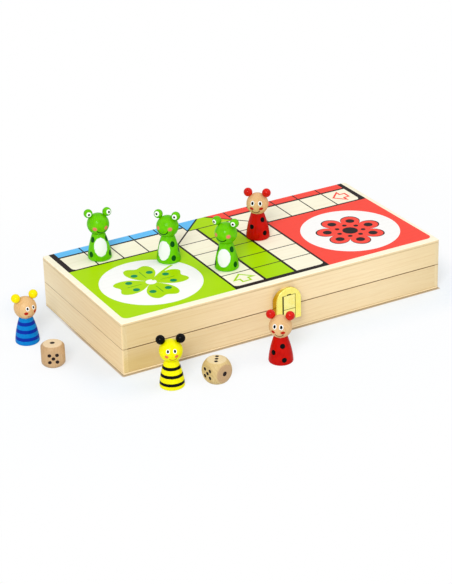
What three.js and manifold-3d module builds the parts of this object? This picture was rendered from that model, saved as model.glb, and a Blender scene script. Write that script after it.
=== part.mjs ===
// A folding wooden race game for four players. Two shallow trays of pale wood are hinged along the
// back into a flat box, and the outer faces of the two trays are the two halves of the board. A
// pressed brass clasp holds the box shut. Seven turned pawns and two wooden dice stand about it.
//
// Millimetres, +Z up. The origin is the centre of the closed box's underside, +X runs along the
// clasp's side to the right and +Y runs towards the hinges.

import * as THREE from "three";
import { mergeVertices } from "three/addons/utils/BufferGeometryUtils.js";
import Module from "manifold-3d";

const wasm = await Module();
wasm.setup();

// The box
const boxLength = 280;
const boxDepth = 138.5;
const trayHeight = 21.2; // one tray, from its rim to its board face
const seamGap = 0.3; // air between the two rims
const wallThickness = 4;
const panelThickness = 2;
const cornerRadius = 1.5; // upright corners of the box
const edgeRound = 0.7; // round-over of the board faces' edges

// The two butt hinges, let into the rims of the back boards
const hingeWidth = 20;
const hingePlaceShare = 0.32; // of the box's length, from its middle
const leafThickness = 0.8;
const leafLegHeight = 9; // the leaf's leg down the inside of the back board
const knuckleRadius = 2;
const hingePinRadius = 0.9;
const hingeSetback = 0.2; // the pin's axis behind the back faces
const middleKnuckleShare = 0.36; // of the hinge's width

// Round-headed nails of hinges and clasp
const nailRadius = 0.6;
const nailHeadRadius = 1.3;
const nailHeadHeight = 0.5;
const nailDepthShare = 0.75; // of the wall that a nail is driven into

// The clasp: a drop loop hung on the upper block, over a lower block
const claspOffset = -2.3; // its middle from the middle of the front
const loopWidth = 21.6;
const loopHeight = 26.5;
const loopFootDrop = 8.6; // the loop's foot below the seam
const loopProud = 6.5; // its face from the wood
const loopStandoff = 0.5; // the back edge of its rim from the wood
const loopSheet = 0.9;
const loopEdgeRound = 0.35;
const windowWidth = 11.6;
const windowDrop = 5.8; // the window's head below the loop's crown
const windowGap = 0.5; // round the blocks that show in the window
const nailSlotWidth = 3.4; // fingernail slot in the window's head
const nailSlotHeight = 0.7;
const blockRecess = 0.2; // the blocks' faces behind the loop's face
const blockEdgeRound = 0.3;
const lowerBlockHeight = 7.6;
const neckWidth = 6; // the upper block's neck, which carries the pin
const barrelRadius = 1.3;
const heelRadius = 1.6; // of the rim about the pin
const claspPinRadius = 0.7;
const flangeThickness = 0.8; // nailing flanges of the two blocks
const flangeHeight = 6.4;

// Pawns, all turned to one pattern
const pawnBaseRadius = 9.4;
const pawnNeckRadius = 4.9;
const pawnBodyHeight = 21.4;
const pawnFootRound = 1.2; // at the lower rim of the body
const pawnSideCurve = 1.7; // exponent of the body's side: 1 would be a straight cone
const headRadius = 8.7;
const earRadius = 3.5;
const earFlatRadius = 2; // where an ear is glued on
const earTilt = 38; // degrees from the upright, to each side

// Dice
const dieSide = 18;
const dieRoundRadius = 11.2; // the ball that rounds off the cube's corners
const pipRadius = 1.3;
const onePipRadius = 1.7; // the single pip is larger
const pipDepth = 0.5;
const pipSpacing = 2.8; // from the middle of a face to the outer pips

// Clearances
const workingGap = 0.3; // between pieces that pass, or that sit in one another
const runningClearance = 0.1; // round a pin in its knuckle
const mortiseClearance = 0.2; // at the ends of a leaf's mortise
const cutOverrun = 1; // how far a cut runs past what it cuts
const weldDistance = 0.0001; // corners of a mesh closer than this are one

// Facets
const knuckleSides = 16;
const pinSides = 12;
const nailSides = 10;
const pipSides = 8;
const turnedSides = 20;
const ballSides = 12;
const dieSides = 24;
const profileSteps = 7;
const archSteps = 9;

// Worked out from the sizes above
const boxHeight = 2 * trayHeight + seamGap;
const seamHeight = boxHeight / 2;
const halfLength = boxLength / 2;
const halfDepth = boxDepth / 2;
const frontFace = -halfDepth;
const innerBack = halfDepth - wallThickness;
const hingeAxisY = halfDepth + hingeSetback;

const finishes = {
  pine: { color: 0xe9cfa0, roughness: 0.62, metalness: 0 },
  board: { color: 0xf2e6c4, roughness: 0.55, metalness: 0 },
  brass: { color: 0xe6c24a, roughness: 0.25, metalness: 1 },
  beech: { color: 0xd9b585, roughness: 0.5, metalness: 0 },
  frogGreen: { color: 0x62c413, roughness: 0.3, metalness: 0 },
  ladybirdRed: { color: 0xcf1d12, roughness: 0.3, metalness: 0 },
  beeYellow: { color: 0xf2e500, roughness: 0.3, metalness: 0 },
  beeBlack: { color: 0x101010, roughness: 0.3, metalness: 0 },
  bugBlue: { color: 0x1583d8, roughness: 0.3, metalness: 0 },
  bugYellow: { color: 0xf7e000, roughness: 0.3, metalness: 0 },
};
const materials = {};
for (const [name, look] of Object.entries(finishes)) {
  materials[name] = new THREE.MeshStandardMaterial({ name, ...look });
}

// Solids

function solid(geometry) {
  const bare = geometry.index ? geometry.toNonIndexed() : geometry.clone();
  for (const name of Object.keys(bare.attributes)) {
    if (name !== "position") bare.deleteAttribute(name);
  }
  const merged = mergeVertices(bare, weldDistance);
  return new wasm.Manifold(
    new wasm.Mesh({
      numProp: 3,
      vertProperties: merged.attributes.position.array,
      triVerts: new Uint32Array(merged.index.array),
    }),
  );
}

function geometryOf(body) {
  const mesh = body.getMesh();
  const geometry = new THREE.BufferGeometry();
  geometry.setAttribute("position", new THREE.BufferAttribute(mesh.vertProperties, 3));
  geometry.setIndex(new THREE.BufferAttribute(mesh.triVerts, 1));
  const flat = geometry.toNonIndexed();
  flat.computeVertexNormals();
  return flat;
}

function piece(name, body, material) {
  const mesh = new THREE.Mesh(geometryOf(body), material);
  mesh.name = name;
  return mesh;
}

function block([x0, x1], [y0, y1], [z0, z1]) {
  const box = new THREE.BoxGeometry(x1 - x0, y1 - y0, z1 - z0);
  return solid(box.translate((x0 + x1) / 2, (y0 + y1) / 2, (z0 + z1) / 2));
}

// A round rod along X from x0 to x1, its axis at (y, z).
function rodAlongX([x0, x1], y, z, radius, sides) {
  const rod = new THREE.CylinderGeometry(radius, radius, x1 - x0, sides);
  return solid(rod.rotateZ(Math.PI / 2).translate((x0 + x1) / 2, y, z));
}

// A polygon of [y, z] points carried along X from x0 to x1.
function prismAlongX([x0, x1], points) {
  const shape = new THREE.Shape(points.map(([y, z]) => new THREE.Vector2(y, z)));
  const raised = new THREE.ExtrudeGeometry(shape, { depth: x1 - x0, bevelEnabled: false });
  const turn = new THREE.Matrix4().set(0, 0, 1, x0, 1, 0, 0, 0, 0, 1, 0, 0, 0, 0, 0, 1);
  return solid(raised.applyMatrix4(turn));
}

// A profile of [radius, height] points, from the axis round to the axis, turned about +Z.
function turned(profile, sides) {
  const points = profile.map(([radius, height]) => new THREE.Vector2(radius, height));
  return new THREE.LatheGeometry(points, sides).rotateX(Math.PI / 2);
}

function rounded(x0, x1, y0, y1, [lowLeft, lowRight, highRight, highLeft]) {
  const quarter = Math.PI / 2;
  const shape = new THREE.Shape();
  const corner = (x, y, radius, from) => {
    if (radius > 0) shape.absarc(x, y, radius, from, from + quarter, false);
    else shape.lineTo(x, y);
  };
  shape.moveTo(x0 + lowLeft, y0);
  corner(x1 - lowRight, y0 + lowRight, lowRight, -quarter);
  corner(x1 - highRight, y1 - highRight, highRight, 0);
  corner(x0 + highLeft, y1 - highLeft, highLeft, quarter);
  corner(x0 + lowLeft, y0 + lowLeft, lowLeft, 2 * quarter);
  return shape;
}

// A shape in XY raised from z0 to z1, its edge rounded over at the top.
function slab(shape, z0, z1, round, curveSegments = 4) {
  const depth = z1 - z0;
  const raised = new THREE.ExtrudeGeometry(shape, {
    depth: 2 * depth - 2 * round,
    curveSegments,
    bevelEnabled: round > 0,
    bevelThickness: round,
    bevelSize: round,
    bevelOffset: -round,
    bevelSegments: 2,
  });
  const both = solid(raised.translate(0, 0, z0 - depth + round));
  raised.computeBoundingBox();
  const { min, max } = raised.boundingBox;
  const keep = [
    [min.x - cutOverrun, max.x + cutOverrun],
    [min.y - cutOverrun, max.y + cutOverrun],
    [z0, z1 + cutOverrun],
  ];
  return both.intersect(block(...keep));
}

// A shape drawn in X and Z, raised towards -Y from the face y0 to the face y1.
function facePad(shape, y0, y1, round, curveSegments) {
  const flat = geometryOf(slab(shape, 0, y0 - y1, round, curveSegments));
  return solid(flat.rotateX(Math.PI / 2).translate(0, y0, 0));
}

// The box

// The notch of one hinge's knuckles and the mortise of its leaf, cut from a back board. The lower
// and the upper tray mirror each other about the seam, which side tells apart: -1 lower, 1 upper.
function hingeSeat(x, side) {
  const rim = seamHeight + (side * seamGap) / 2;
  const span = [x - hingeWidth / 2 - mortiseClearance, x + hingeWidth / 2 + mortiseClearance];
  const floor = rim + side * leafThickness;
  const mortise = block(
    span,
    [innerBack - cutOverrun, halfDepth + cutOverrun],
    side < 0 ? [floor, rim + cutOverrun] : [rim - cutOverrun, floor],
  );
  const notch = rodAlongX(
    span,
    hingeAxisY,
    seamHeight,
    knuckleRadius + workingGap,
    knuckleSides,
  );
  return mortise.add(notch);
}

const nailLength = wallThickness * nailDepthShare;

// A nail driven along +Y, its head on the face y.
function nail(x, y, z, clearance = 0) {
  const radius = nailRadius + clearance;
  const head = nailHeadRadius + clearance;
  const crown = nailHeadHeight + clearance;
  const reach = nailLength + flangeThickness + clearance;
  const body = turned(
    [[0, -reach], [radius, -reach], [radius, 0], [head, 0], [head * 0.8, crown * 0.75], [0, crown]],
    nailSides,
  );
  return solid(body.rotateX(Math.PI / 2).translate(x, y, z));
}

const hingePlaces = { left: -hingePlaceShare * boxLength, right: hingePlaceShare * boxLength };
const leafInnerFace = innerBack - leafThickness; // where a hinge nail's head sits

function hingeNailHeight(side) {
  return seamHeight + side * (seamGap / 2 + leafLegHeight * 0.62);
}

function hingeNail(x, side, clearance) {
  return nail(x, leafInnerFace, hingeNailHeight(side), clearance);
}

// The clasp's lengths
const claspTop = seamHeight - loopFootDrop + loopHeight;
const claspFoot = seamHeight - loopFootDrop;
const loopRadius = loopWidth / 2;
const archCentre = claspTop - loopRadius;
const windowHead = claspTop - windowDrop;
const loopFace = frontFace - loopProud;
const blockFace = loopFace + blockRecess;
const blockHalf = windowWidth / 2 - windowGap;
const claspPinY = loopFace + loopSheet + workingGap + barrelRadius;
const neckReach = Math.sqrt((loopRadius - loopSheet) ** 2 - (neckWidth / 2) ** 2);
const claspPinZ = archCentre + neckReach - workingGap - barrelRadius;
const flangeHalf = loopRadius - loopSheet - 2 * workingGap;
const claspNailX = (blockHalf + flangeHalf) / 2;
const flanges = {
  lower: [trayHeight - flangeHeight - workingGap, trayHeight - workingGap],
  upper: [trayHeight + seamGap + workingGap, trayHeight + seamGap + workingGap + flangeHeight],
};

function claspNail(side, tray, clearance) {
  const [low, high] = flanges[tray];
  const x = claspOffset + side * claspNailX;
  return nail(x, frontFace - flangeThickness, (low + high) / 2, clearance);
}

// One tray: four boards and the panel that is glued over them. Side boards run the full depth
// and cover the ends of the front and back boards.
function tray(name) {
  const side = name === "lower" ? -1 : 1;
  const rim = seamHeight + (side * seamGap) / 2;
  const joint = rim + side * (trayHeight - panelThickness);
  const face = rim + side * trayHeight;
  const rise = side < 0 ? [joint, rim] : [rim, joint];
  const endX = halfLength - wallThickness;
  const parts = {};

  let front = block([-endX, endX], [frontFace, frontFace + wallThickness], rise);
  for (const hand of [-1, 1]) front = front.subtract(claspNail(hand, name, runningClearance));
  parts.front_board = front;

  let back = block([-endX, endX], [innerBack, halfDepth], rise);
  for (const x of Object.values(hingePlaces)) {
    back = back.subtract(hingeSeat(x, side)).subtract(hingeNail(x, side, runningClearance));
  }
  parts.back_board = back;

  const left = rounded(-halfLength, -endX, frontFace, halfDepth, [cornerRadius, 0, 0, cornerRadius]);
  const right = rounded(endX, halfLength, frontFace, halfDepth, [0, cornerRadius, cornerRadius, 0]);
  parts.left_board = slab(left, rise[0], rise[1], 0);
  parts.right_board = slab(right, rise[0], rise[1], 0);

  const corners = Array(4).fill(cornerRadius);
  const outline = rounded(-halfLength, halfLength, frontFace, halfDepth, corners);
  const panel = slab(outline, 0, panelThickness, edgeRound);
  const turn = new THREE.Matrix4().makeTranslation(0, 0, joint);
  if (side < 0) turn.multiply(new THREE.Matrix4().makeRotationX(Math.PI));
  parts.board_panel = solid(geometryOf(panel).applyMatrix4(turn));

  const group = new THREE.Group();
  for (const [part, body] of Object.entries(parts)) {
    const look = part === "board_panel" ? materials.board : materials.pine;
    group.add(piece(`${name}_${part}`, body, look));
  }
  return group;
}

// Hinges

const knuckleEnds = [
  -hingeWidth / 2,
  (-middleKnuckleShare * hingeWidth) / 2,
  (middleKnuckleShare * hingeWidth) / 2,
  hingeWidth / 2,
];

// The spans along X of the knuckles that a leaf carries: the outer two, or the middle one.
function knuckleSpans(x, side) {
  const gap = workingGap / 2;
  const spans = [0, 1, 2].map((n) => [
    x + knuckleEnds[n] + (n > 0 ? gap : 0),
    x + knuckleEnds[n + 1] - (n < 2 ? gap : 0),
  ]);
  return side < 0 ? [spans[0], spans[2]] : [spans[1]];
}

function hingeLeaf(x, side) {
  const rim = seamHeight + (side * seamGap) / 2;
  const span = [x - hingeWidth / 2, x + hingeWidth / 2];
  const plate = [rim, rim + side * leafThickness].sort((a, b) => a - b);
  const leg = [rim, rim + side * leafLegHeight].sort((a, b) => a - b);
  let leaf = block(span, [leafInnerFace, hingeAxisY], plate);
  leaf = leaf.add(block(span, [leafInnerFace, innerBack], leg));
  const clear = knuckleRadius + workingGap;
  for (const [x0, x1] of knuckleSpans(x, -side)) {
    const past = [x0 - workingGap, x1 + workingGap];
    leaf = leaf.subtract(rodAlongX(past, hingeAxisY, seamHeight, clear, knuckleSides));
  }
  for (const own of knuckleSpans(x, side)) {
    leaf = leaf.add(rodAlongX(own, hingeAxisY, seamHeight, knuckleRadius, knuckleSides));
  }
  const bore = hingePinRadius + runningClearance;
  const through = [span[0] - cutOverrun, span[1] + cutOverrun];
  leaf = leaf.subtract(rodAlongX(through, hingeAxisY, seamHeight, bore, pinSides));
  return leaf.subtract(hingeNail(x, side, runningClearance));
}

function hinge(name) {
  const x = hingePlaces[name];
  const pin = [x - hingeWidth / 2, x + hingeWidth / 2];
  const fixed = new THREE.Group();
  const moving = new THREE.Group();
  const part = (label, body) => piece(`hinge_${name}_${label}`, body, materials.brass);
  fixed.add(part("lower_leaf", hingeLeaf(x, -1)));
  fixed.add(part("lower_nail", hingeNail(x, -1, 0)));
  fixed.add(part("pin", rodAlongX(pin, hingeAxisY, seamHeight, hingePinRadius, pinSides)));
  moving.add(part("upper_leaf", hingeLeaf(x, 1)));
  moving.add(part("upper_nail", hingeNail(x, 1, 0)));
  return { fixed, moving };
}

// Clasp

// The arch of the loop drawn in X and Z, inset from its outer edge.
function archShape(inset, foot) {
  const half = loopRadius - inset;
  const shape = new THREE.Shape();
  shape.moveTo(claspOffset - half, foot);
  shape.lineTo(claspOffset + half, foot);
  shape.absarc(claspOffset, archCentre, half, 0, Math.PI, false);
  return shape;
}

// The loop is a pressed cup: a face with a window open at its foot, and a rim turned back towards
// the wood. Its legs stand over both sides of the blocks, and its crown swings on a cross pin.
function claspLoop() {
  const back = frontFace - loopStandoff;
  let loop = facePad(archShape(0, claspFoot), back, loopFace, loopEdgeRound, archSteps);
  const hollow = facePad(
    archShape(loopSheet, claspFoot - cutOverrun),
    back + cutOverrun,
    loopFace + loopSheet,
    0,
    archSteps,
  );
  loop = loop.subtract(hollow);
  const depth = [loopFace - cutOverrun, back + cutOverrun];
  const window = block(
    [claspOffset - windowWidth / 2, claspOffset + windowWidth / 2],
    depth,
    [claspFoot - cutOverrun, windowHead],
  );
  const nailSlot = block(
    [claspOffset - nailSlotWidth / 2, claspOffset + nailSlotWidth / 2],
    depth,
    [windowHead - cutOverrun, windowHead + nailSlotHeight],
  );
  loop = loop.subtract(window).subtract(nailSlot);

  // Round the arch the rim narrows towards the crown, with a round heel left about the pin, so
  // that the crown turns clear of the wood and of the neck.
  const beyond = loopRadius + cutOverrun;
  const across = [claspOffset - beyond, claspOffset + beyond];
  const narrow = claspPinY - workingGap;
  const above = claspTop + cutOverrun;
  const behind = prismAlongX(across, [
    [back, archCentre],
    [claspPinY + heelRadius, claspPinZ],
    [narrow, claspPinZ],
    [narrow, above],
    [frontFace, above],
    [frontFace, archCentre],
  ]);
  const heel = rodAlongX(across, claspPinY, claspPinZ, heelRadius, turnedSides);
  loop = loop.subtract(behind.subtract(heel));
  const bore = claspPinRadius + runningClearance;
  return loop.subtract(rodAlongX(across, claspPinY, claspPinZ, bore, pinSides));
}

function flange(tray) {
  const half = flangeHalf;
  const plate = block(
    [claspOffset - half, claspOffset + half],
    [frontFace - flangeThickness, frontFace],
    flanges[tray],
  );
  let made = plate;
  for (const hand of [-1, 1]) made = made.subtract(claspNail(hand, tray, runningClearance));
  return made;
}

function claspBlock(tray) {
  const lower = tray === "lower";
  const low = lower ? trayHeight - lowerBlockHeight : trayHeight + seamGap;
  const high = lower ? trayHeight : windowHead - windowGap;
  const outline = rounded(
    claspOffset - blockHalf,
    claspOffset + blockHalf,
    low,
    high,
    Array(4).fill(2 * blockEdgeRound),
  );
  let body = facePad(outline, frontFace, blockFace, blockEdgeRound, 2).add(flange(tray));
  if (lower) return body;
  const neck = [claspOffset - neckWidth / 2, claspOffset + neckWidth / 2];
  body = body.add(block(neck, [claspPinY - barrelRadius, frontFace], [high - windowGap, claspPinZ]));
  body = body.add(rodAlongX(neck, claspPinY, claspPinZ, barrelRadius, knuckleSides));
  const through = [neck[0] - cutOverrun, neck[1] + cutOverrun];
  const bore = claspPinRadius + runningClearance;
  return body.subtract(rodAlongX(through, claspPinY, claspPinZ, bore, pinSides));
}

function clasp() {
  const fixed = new THREE.Group();
  const moving = new THREE.Group();
  const loop = new THREE.Group();
  const rimAtPin = Math.sqrt(loopRadius ** 2 - (claspPinZ - archCentre) ** 2);
  const pinHalf = rimAtPin - loopSheet / 2;
  const pinSpan = [claspOffset - pinHalf, claspOffset + pinHalf];
  const pin = rodAlongX(pinSpan, claspPinY, claspPinZ, claspPinRadius, pinSides);
  const brass = materials.brass;
  fixed.add(piece("clasp_lower_block", claspBlock("lower"), brass));
  moving.add(piece("clasp_upper_block", claspBlock("upper"), brass));
  moving.add(piece("clasp_pin", pin, brass));
  for (const [hand, label] of [[-1, "left"], [1, "right"]]) {
    fixed.add(piece(`clasp_lower_nail_${label}`, claspNail(hand, "lower", 0), brass));
    moving.add(piece(`clasp_upper_nail_${label}`, claspNail(hand, "upper", 0), brass));
  }
  loop.add(piece("clasp_loop", claspLoop(), brass));
  return { fixed, moving, loop };
}

// Pawns

// The body is a turned bell: its side falls from the neck to the base as 1 - t ** curve.
function pawnBody() {
  const swell = pawnBaseRadius - pawnNeckRadius;
  const side = (t) => pawnNeckRadius + swell * (1 - t ** pawnSideCurve);
  const foot = pawnFootRound / pawnBodyHeight;
  const profile = [[0, 0], [pawnBaseRadius - pawnFootRound, 0]];
  profile.push([pawnBaseRadius - 0.3 * pawnFootRound, 0.3 * pawnFootRound]);
  for (let n = 0; n <= profileSteps; n++) {
    const t = foot + (1 - foot) * (n / profileSteps);
    profile.push([side(t), t * pawnBodyHeight]);
  }
  profile.push([0, pawnBodyHeight]);
  return solid(turned(profile, turnedSides));
}

// A ball whose lower pole is cut to a flat of the given radius; the ball's centre is the origin.
function flattenedBall(radius, flatRadius, sides) {
  const steps = Math.round(sides / 2);
  const lowest = Math.asin(flatRadius / radius) - Math.PI;
  const profile = [[0, -Math.sqrt(radius ** 2 - flatRadius ** 2)]];
  for (let n = 0; n < steps; n++) {
    const angle = -lowest * (1 - n / steps);
    profile.push([radius * Math.sin(angle), radius * Math.cos(angle)]);
  }
  profile.push([0, radius]);
  return turned(profile, sides);
}

const headCentre = pawnBodyHeight + Math.sqrt(headRadius ** 2 - pawnNeckRadius ** 2);
const earDrop = Math.sqrt(earRadius ** 2 - earFlatRadius ** 2);
const earReach = headRadius + workingGap + earDrop;

// An ear or a bulging eye, glued on the head with its flat towards the head's centre.
function ear(hand) {
  const tilt = hand * THREE.MathUtils.degToRad(earTilt);
  const ball = flattenedBall(earRadius, earFlatRadius, ballSides).translate(0, 0, earReach);
  return solid(ball.rotateX(-tilt).translate(0, 0, headCentre));
}

// A pawn faces +X before it is turned; its left ear is on the +Y side.
function pawn(kind, x, y, floor, heading, looks) {
  const group = new THREE.Group();
  const [bodyLook, headLook, earLook] = looks.map((name) => materials[name]);
  const earLabel = kind.startsWith("frog") ? "eye" : "ear";
  const head = flattenedBall(headRadius, pawnNeckRadius, turnedSides).translate(0, 0, headCentre);
  group.add(piece(`${kind}_body`, pawnBody(), bodyLook));
  group.add(piece(`${kind}_head`, solid(head), headLook));
  group.add(piece(`${kind}_${earLabel}_left`, ear(1), earLook));
  group.add(piece(`${kind}_${earLabel}_right`, ear(-1), earLook));
  group.position.set(x, y, floor);
  group.rotation.z = THREE.MathUtils.degToRad(heading);
  return group;
}

// Dice

// Where the pips of each number lie on a face, in steps of the pip spacing.
const pipLayouts = {
  1: [[0, 0]],
  2: [[-1, -1], [1, 1]],
  3: [[-1, 1], [0, 0], [1, -1]],
  4: [[-1, -1], [-1, 1], [1, -1], [1, 1]],
  5: [[-1, -1], [-1, 1], [0, 0], [1, -1], [1, 1]],
  6: [[-1, -1], [0, -1], [1, -1], [-1, 1], [0, 1], [1, 1]],
};

// numbers: what the faces towards +X, -X, +Y, -Y, +Z and -Z show.
function die(numbers) {
  const half = dieSide / 2;
  const cube = block([-half, half], [-half, half], [-half, half]);
  const ball = solid(new THREE.SphereGeometry(dieRoundRadius, dieSides, dieSides / 2));
  let body = cube.intersect(ball);
  const quarter = Math.PI / 2;
  const turns = [[0, quarter], [0, -quarter], [-quarter, 0], [quarter, 0], [0, 0], [2 * quarter, 0]];
  numbers.forEach((number, face) => {
    const radius = number === 1 ? onePipRadius : pipRadius;
    const cup = [[0, -pipDepth], [radius * 0.7, -pipDepth * 0.7], [radius, 0], [radius, cutOverrun]];
    for (const [u, v] of pipLayouts[number]) {
      const dimple = turned([...cup, [0, cutOverrun]], pipSides);
      dimple.translate(u * pipSpacing, v * pipSpacing, half);
      const [aboutX, aboutY] = turns[face];
      body = body.subtract(solid(dimple.rotateX(aboutX).rotateY(aboutY)));
    }
  });
  return body;
}

function placedDie(name, x, y, heading, numbers) {
  const mesh = piece(name, die(numbers), materials.beech);
  mesh.position.set(x, y, dieSide / 2);
  mesh.rotation.z = THREE.MathUtils.degToRad(heading);
  return mesh;
}

// The whole set. Places are shares of the box's length and depth, from its middle.

const pawnPlaces = [
  { kind: "frog_1", on: "lid", placeShare: [-0.365, 0.316], heading: -106, colours: "frog" },
  { kind: "frog_2", on: "lid", placeShare: [-0.21, 0.079], heading: -141, colours: "frog" },
  { kind: "frog_3", on: "lid", placeShare: [-0.097, -0.178], heading: -144, colours: "frog" },
  { kind: "ladybird_1", on: "lid", placeShare: [0.078, 0.087], heading: -129, colours: "ladybird" },
  { kind: "ladybird_2", on: "table", placeShare: [-0.105, -0.786], heading: -132, colours: "ladybird" },
  { kind: "bee", on: "table", placeShare: [-0.415, -0.724], heading: -112, colours: "bee" },
  { kind: "bluebug", on: "table", placeShare: [-0.633, 0.147], heading: -88, colours: "bug" },
];
const pawnColours = {
  frog: ["frogGreen", "frogGreen", "frogGreen"],
  ladybird: ["ladybirdRed", "beech", "ladybirdRed"],
  bee: ["beeYellow", "beeYellow", "beeBlack"],
  bug: ["bugBlue", "beech", "bugYellow"],
};
const dicePlaces = [
  { name: "die_left", placeShare: [-0.629, -0.178], heading: -112.5, numbers: [5, 2, 4, 3, 1, 6] },
  { name: "die_front", placeShare: [-0.303, -0.802], heading: -79, numbers: [1, 6, 2, 5, 3, 4] },
];

const game = new THREE.Group();
const lid = new THREE.Group();
game.add(tray("lower"), lid);
lid.add(tray("upper"));
for (const name of Object.keys(hingePlaces)) {
  const { fixed, moving } = hinge(name);
  game.add(fixed);
  lid.add(moving);
}
const { fixed, moving, loop } = clasp();
game.add(fixed);
lid.add(moving, loop);
for (const { kind, on, placeShare, heading, colours } of pawnPlaces) {
  const [x, y] = [placeShare[0] * boxLength, placeShare[1] * boxDepth];
  const floor = on === "lid" ? boxHeight : 0;
  (on === "lid" ? lid : game).add(pawn(kind, x, y, floor, heading, pawnColours[colours]));
}
for (const { name, placeShare, heading, numbers } of dicePlaces) {
  const [x, y] = [placeShare[0] * boxLength, placeShare[1] * boxDepth];
  game.add(placedDie(name, x, y, heading, numbers));
}

export default game;
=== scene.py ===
# %% [markdown]
# # A folding race game in wood
# Two shallow trays hinged at the back make a flat box, and the outer faces of the trays are the
# board. A brass clasp holds the box shut, and turned animal pawns and wooden dice stand about it.
# The solids come from the part's own model, so this lesson only adds what solids lack: round
# surfaces, wood grain, ink, paint and metal. Everything is in metres, in the model's own frame.

# %% Load the solids
import math

import bmesh
import bpy
import numpy as np
from mathutils import Matrix, Vector


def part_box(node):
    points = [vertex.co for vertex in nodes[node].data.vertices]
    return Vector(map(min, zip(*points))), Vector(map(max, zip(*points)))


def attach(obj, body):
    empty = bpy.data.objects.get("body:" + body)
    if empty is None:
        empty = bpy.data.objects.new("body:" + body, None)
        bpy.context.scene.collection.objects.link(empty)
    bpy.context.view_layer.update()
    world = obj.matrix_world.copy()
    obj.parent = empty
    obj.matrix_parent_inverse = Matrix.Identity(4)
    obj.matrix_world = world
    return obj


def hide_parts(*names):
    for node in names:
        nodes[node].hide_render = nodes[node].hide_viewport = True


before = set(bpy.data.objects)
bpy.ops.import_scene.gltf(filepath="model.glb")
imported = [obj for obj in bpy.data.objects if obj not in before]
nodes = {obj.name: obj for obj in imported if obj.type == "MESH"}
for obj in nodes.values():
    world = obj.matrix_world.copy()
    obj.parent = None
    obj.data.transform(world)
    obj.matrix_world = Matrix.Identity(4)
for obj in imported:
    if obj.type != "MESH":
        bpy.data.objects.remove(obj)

MM = 0.001
TURN = 2 * math.pi
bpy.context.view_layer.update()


def middle_of(node):
    """The middle of the box about a solid, in metres."""
    return np.array([(low + high) / 2 for low, high in zip(*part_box(node))])


# %% [markdown]
# ## The camera
# The photographer stood to the left of the box and looked down on it with a long lens. The angles
# and the distance were worked out from the corners of the box, so the camera is set from numbers
# and not by eye. Its roll is kept too, because the picture leans by a degree and a half.

# %% Camera
PICTURE_WIDTH, PICTURE_HEIGHT = 452, 584
FOCAL_PIXELS = 1923.1
SENSOR = 36.0
NEAREST, FARTHEST = 0.05, 50
azimuth, elevation, roll = (math.radians(angle) for angle in (-28.626, 25.858, -1.499))
looked_at = Vector((-6.99, 14.64, 0)) * MM
distance = 1.536

back = Vector((math.sin(azimuth) * math.cos(elevation), -math.cos(azimuth) * math.cos(elevation),
               math.sin(elevation)))
level = (-back).cross(Vector((0, 0, 1))).normalized()
upright = level.cross(-back)
right = level * math.cos(roll) + upright * math.sin(roll)
up = upright * math.cos(roll) - level * math.sin(roll)

camera = bpy.data.objects.new("camera", bpy.data.cameras.new("camera"))
bpy.context.scene.collection.objects.link(camera)
place = Matrix((right, up, back)).transposed().to_4x4()
place.translation = looked_at + back * distance
camera.matrix_world = place
camera.data.sensor_width = SENSOR
camera.data.lens = FOCAL_PIXELS * SENSOR / max(PICTURE_WIDTH, PICTURE_HEIGHT)
camera.data.clip_start, camera.data.clip_end = NEAREST, FARTHEST
bpy.context.scene.camera = camera
print("lens:", round(camera.data.lens, 2), "mm")

# %% [markdown]
# ## Wiring nodes by arithmetic
# A material is a small sum: where is this point, how far is it from an edge, which colour follows.
# Node by node that is slow to write and hard to read. A field stands for one output socket, and
# sums on fields add Math nodes, so a pattern can be written as the formula that it is. A mask is a
# field of 0 and 1: `&` takes the smaller of two fields and `|` the larger, so `&` keeps what two
# masks share and `|` joins them.

# %% Fields
class Field:
    """One output of a node. Sums, comparisons and absolute values on it add Math nodes."""

    def __init__(self, bench, socket):
        self.bench, self.socket = bench, socket

    def __add__(self, other): return self.bench.math("ADD", self, other)
    def __sub__(self, other): return self.bench.math("SUBTRACT", self, other)
    def __rsub__(self, other): return self.bench.math("SUBTRACT", other, self)
    def __mul__(self, other): return self.bench.math("MULTIPLY", self, other)
    def __truediv__(self, other): return self.bench.math("DIVIDE", self, other)
    def __pow__(self, other): return self.bench.math("POWER", self, other)
    def __abs__(self): return self.bench.math("ABSOLUTE", self)
    def __lt__(self, other): return self.bench.math("LESS_THAN", self, other)
    def __gt__(self, other): return self.bench.math("GREATER_THAN", self, other)
    def __and__(self, other): return self.bench.math("MINIMUM", self, other)
    def __or__(self, other): return self.bench.math("MAXIMUM", self, other)


print("a field knows these signs: + - * / ** < > & | and abs")

# %% [markdown]
# The bench is where fields are made. It holds one node tree and has a method for each kind of node
# that the lesson needs. Each new node is set down under the last one, nine to a column, so that the
# finished material can be opened in the shader editor and read from left to right.

# %% The bench
COLUMN_STEP, ROW_STEP, ROWS = 230, 170, 9
MIX_MASK, MIX_UNDER, MIX_OVER, MIX_COLOUR = 0, 6, 7, 2


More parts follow.
